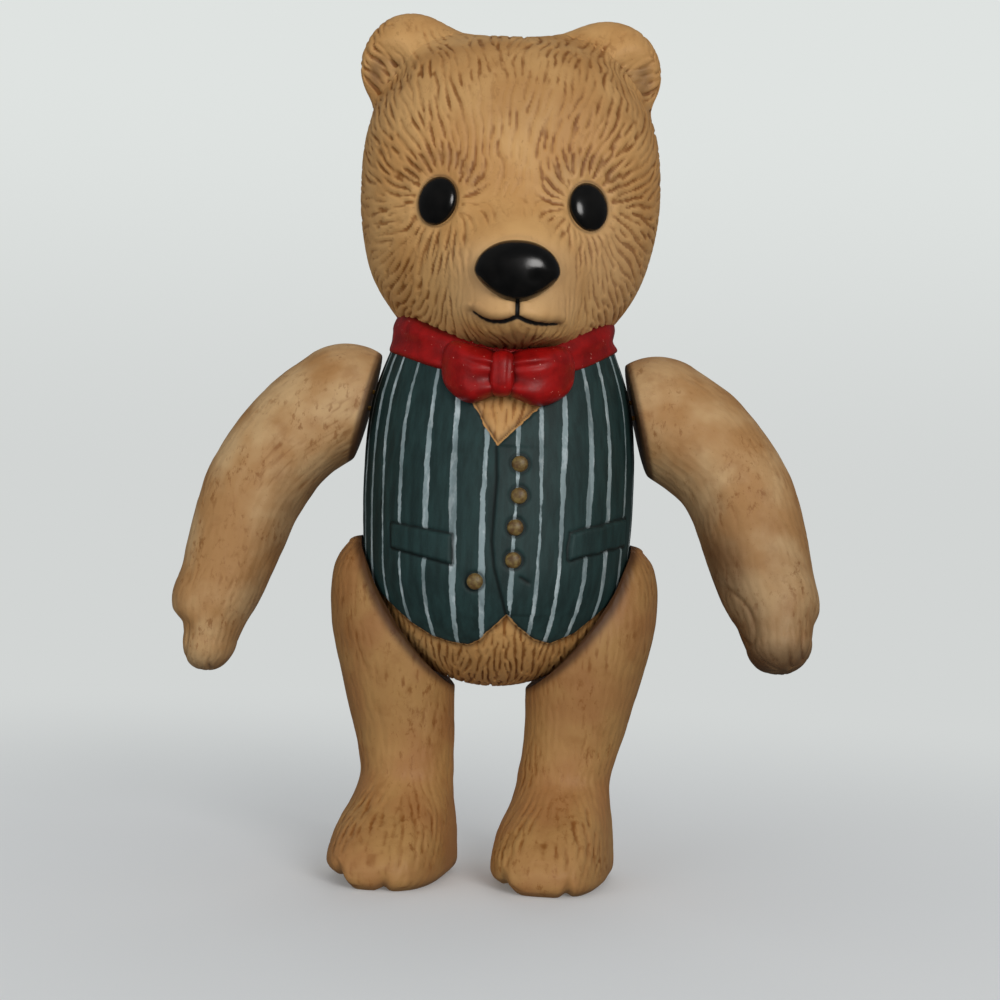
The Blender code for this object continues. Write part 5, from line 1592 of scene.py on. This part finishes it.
def half_elastic(loop, joint, material):
    """Half a loop of elastic, cut into rings from the crimp out to the wire eye that it hooks round."""
    side = 1 if joint["name"].startswith("left") else -1
    axis = np.array(joint["axis"]) * np.sign(joint["axis"][0]) * side
    hook = np.array(joint["pos_m"]) - axis * EYE_STANDS_OUT * MM
    still = np.array((side * (CRIMP_LENGTH / 2 + ELASTIC_SLACK) * MM, hook[1], hook[2]))
    form = bmesh.new()
    form.from_mesh(loop.data)
    bmesh.ops.remove_doubles(form, verts=form.verts, dist=1e-7)
    for share in np.linspace(0.0, 1.0, ELASTIC_RINGS):
        cut_across(form, still + (hook - still) * share, (1, 0, 0))
    rims = cut_across(form, (side * ELASTIC_GAP * MM, 0, 0), (side, 0, 0), drop_behind=True)
    bmesh.ops.holes_fill(form, edges=rims)
    name = joint["name"] + "_half_elastic"
    mesh = bpy.data.meshes.new(name)
    form.to_mesh(mesh)
    form.free()
    piece = smooth_piece(name, mesh, material)
    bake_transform(piece)
    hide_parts(loop.name)
    return piece


class BEAR_OT_stringing(bpy.types.Operator):
    """Finishes the wire eyes, plugs, elastics and crimps"""

    bl_idname = "bear.stringing"
    bl_label = "Stringing"

    def execute(self, context):
        brass = bare_metal("drawn brass wire", "#9c7430", "#d0a65c", 0.32)
        aluminium = bare_metal("pressed aluminium sleeve", "#a9abae", "#d3d5d8", 0.38)
        plaster = plain_paint("cast plaster", "#cfcabf", "#e6e2d9", 0.9, 0.8, 0.03)
        elastic = plain_paint("thread-covered elastic", "#c9c5ba", "#ece9e0", 0.8, 0.4, 0.03)
        for name, node in frame["nodes"].items():
            for ending, material in (("wire_eye", brass), ("crimp", aluminium), ("plug", plaster)):
                if name.endswith(ending):
                    node.data.materials.clear()
                    node.data.materials.append(material)
        for joint in frame["joints"]:
            kind = joint["name"].split("_")[1]
            half_elastic(frame["nodes"][kind + "_elastic"], joint, elastic)
        return {"FINISHED"}


class BEAR_OT_stage(bpy.types.Operator):
    """Sets up the floor, the backdrop, the lamps and the camera"""

    bl_idname = "bear.stage"
    bl_label = "Stage"

    def execute(self, context):
        scene = context.scene
        mesh = bpy.data.meshes.new("floor")
        corners = [(x * FLOOR_REACH, y * FLOOR_REACH, 0) for x, y in ((-1, -1), (1, -1), (1, 1), (-1, 1))]
        mesh.from_pydata(corners, [], [(0, 1, 2, 3)])
        mesh.materials.append(pale_floor())
        floor = linked("floor", mesh)
        # The photo's bear hangs on a wall, so no light comes up from below and no floor shows in its gloss.
        floor.visible_glossy = False
        floor.visible_diffuse = False
        for name, place, aim, size, watts, colour in LAMPS:
            lamp = bpy.data.lights.new(name, "AREA")
            lamp.shape = "DISK"
            lamp.size = size
            lamp.energy = watts
            lamp.color = colour
            holder = linked(name, lamp)
            aim_at(holder, place, aim, 0.0)
            holder.visible_glossy = name == "key lamp"
        camera = bpy.data.cameras.new("camera")
        camera.lens_unit = "FOV"
        camera.angle = 2 * math.atan(CAMERA_WIDTH / 2 / CAMERA_AWAY)
        camera.clip_start = 0.005
        holder = linked("camera", camera)
        across, up = CAMERA_PLACE
        aim_at(holder, (across, AXIS_Y * MM - CAMERA_AWAY, up), (across, 0.0, up), CAMERA_ROLL)
        scene.camera = holder
        scene.view_settings.view_transform = "Standard"
        scene.world = pale_world()
        return {"FINISHED"}


def aim_at(holder, place, target, roll):
    """Puts a lamp or the camera in its place, aimed at the target and rolled about its own view."""
    way = Vector(target) - Vector(place)
    turn = way.to_track_quat("-Z", "Y").to_matrix().to_4x4()
    holder.matrix_world = Matrix.Translation(place) @ turn @ Matrix.Rotation(roll, 4, "Z")


def shown_to_camera(tree):
    """One where the camera looks, straight or through a clear piece, and nought for the light cast."""
    path = add_node(tree, "ShaderNodeLightPath").outputs
    return maths(tree, "MAXIMUM", path["Is Camera Ray"], path["Is Transmission Ray"])


def pale_floor():
    """Matt pale paper under the bear, which runs out into the backdrop with no edge. The bear in the photo
    hangs, so the paper throws no light up at it."""
    material = new_material("matt pale paper")
    tree = material.node_tree
    shader = tree.nodes["Principled BSDF"]
    shader.inputs["Base Color"].default_value = as_colour("#f4f7fa")
    shader.inputs["Roughness"].default_value = 0.9
    far = add_node(tree, "ShaderNodeVectorMath", {0: object_place(tree)}, operation="LENGTH").outputs["Value"]
    gone = spread(tree, far, -0.06, 0.24)
    paper = add_node(tree, "ShaderNodeEmission", {"Color": as_colour(BACKDROP_LOW)}).outputs[0]
    both = add_node(tree, "ShaderNodeMixShader", {0: gone})
    tree.links.new(shader.outputs[0], both.inputs[1])
    tree.links.new(paper, both.inputs[2])
    tree.links.new(both.outputs[0], tree.nodes["Material Output"].inputs["Surface"])
    return material


def pale_world():
    """A pale backdrop all round. It lights more from above than from below, and glossy paint sees it dim."""
    world = bpy.data.worlds.new("pale studio")
    world.use_nodes = True
    tree = world.node_tree
    way = add_node(tree, "ShaderNodeTexCoord").outputs["Generated"]
    rise = add_node(tree, "ShaderNodeSeparateXYZ", {0: way}).outputs["Z"]
    light = tree.nodes["Background"]
    light.inputs["Color"].default_value = as_colour("#e8eaec")
    glossy = add_node(tree, "ShaderNodeLightPath").outputs["Is Glossy Ray"]
    dimmed = spread(tree, glossy, 0.0, 1.0, 1.0, 0.35)
    above = spread(tree, rise, -0.6, 0.8, 0.22, 0.40)
    tree.links.new(maths(tree, "MULTIPLY", above, dimmed), light.inputs["Strength"])
    backdrop = mixed(tree, spread(tree, rise, 0.0, 0.2), BACKDROP_LOW, BACKDROP_HIGH)
    seen = add_node(tree, "ShaderNodeBackground", {"Color": backdrop})
    both = add_node(tree, "ShaderNodeMixShader", {0: shown_to_camera(tree)})
    tree.links.new(light.outputs[0], both.inputs[1])
    tree.links.new(seen.outputs[0], both.inputs[2])
    tree.links.new(both.outputs[0], tree.nodes["World Output"].inputs["Surface"])
    return world


class BEAR_PT_panel(bpy.types.Panel):
    """Lists the bear's pieces, sizes and colours"""

    bl_idname = "BEAR_PT_panel"
    bl_label = "Jointed Porcelain Bear"
    bl_space_type = "VIEW_3D"
    bl_region_type = "UI"
    bl_category = "Bear"

    def draw(self, context):
        layout = self.layout
        for operator in OPERATORS:
            layout.operator(operator.bl_idname)
        for group in (context.scene.bear_sizes, context.scene.bear_colours):
            for name in group.__annotations__:
                layout.prop(group, name)


OPERATORS = (
    BEAR_OT_head,
    BEAR_OT_ears,
    BEAR_OT_face,
    BEAR_OT_torso,
    BEAR_OT_neckwear,
    BEAR_OT_buttons,
    BEAR_OT_arms,
    BEAR_OT_legs,
    BEAR_OT_stringing,
    BEAR_OT_stage,
)
CLASSES = (BearSizes, BearColours, *OPERATORS, BEAR_PT_panel)


def register():
    for cls in CLASSES:
        bpy.utils.register_class(cls)
    bpy.types.Scene.bear_sizes = bpy.props.PointerProperty(type=BearSizes)
    bpy.types.Scene.bear_colours = bpy.props.PointerProperty(type=BearColours)


def unregister():
    del bpy.types.Scene.bear_colours
    del bpy.types.Scene.bear_sizes
    for cls in reversed(CLASSES):
        bpy.utils.unregister_class(cls)


def main():
    register()
    for operator in OPERATORS:
        group, name = operator.bl_idname.split(".")
        getattr(getattr(bpy.ops, group), name)()


if __name__ == "__main__":
    main()
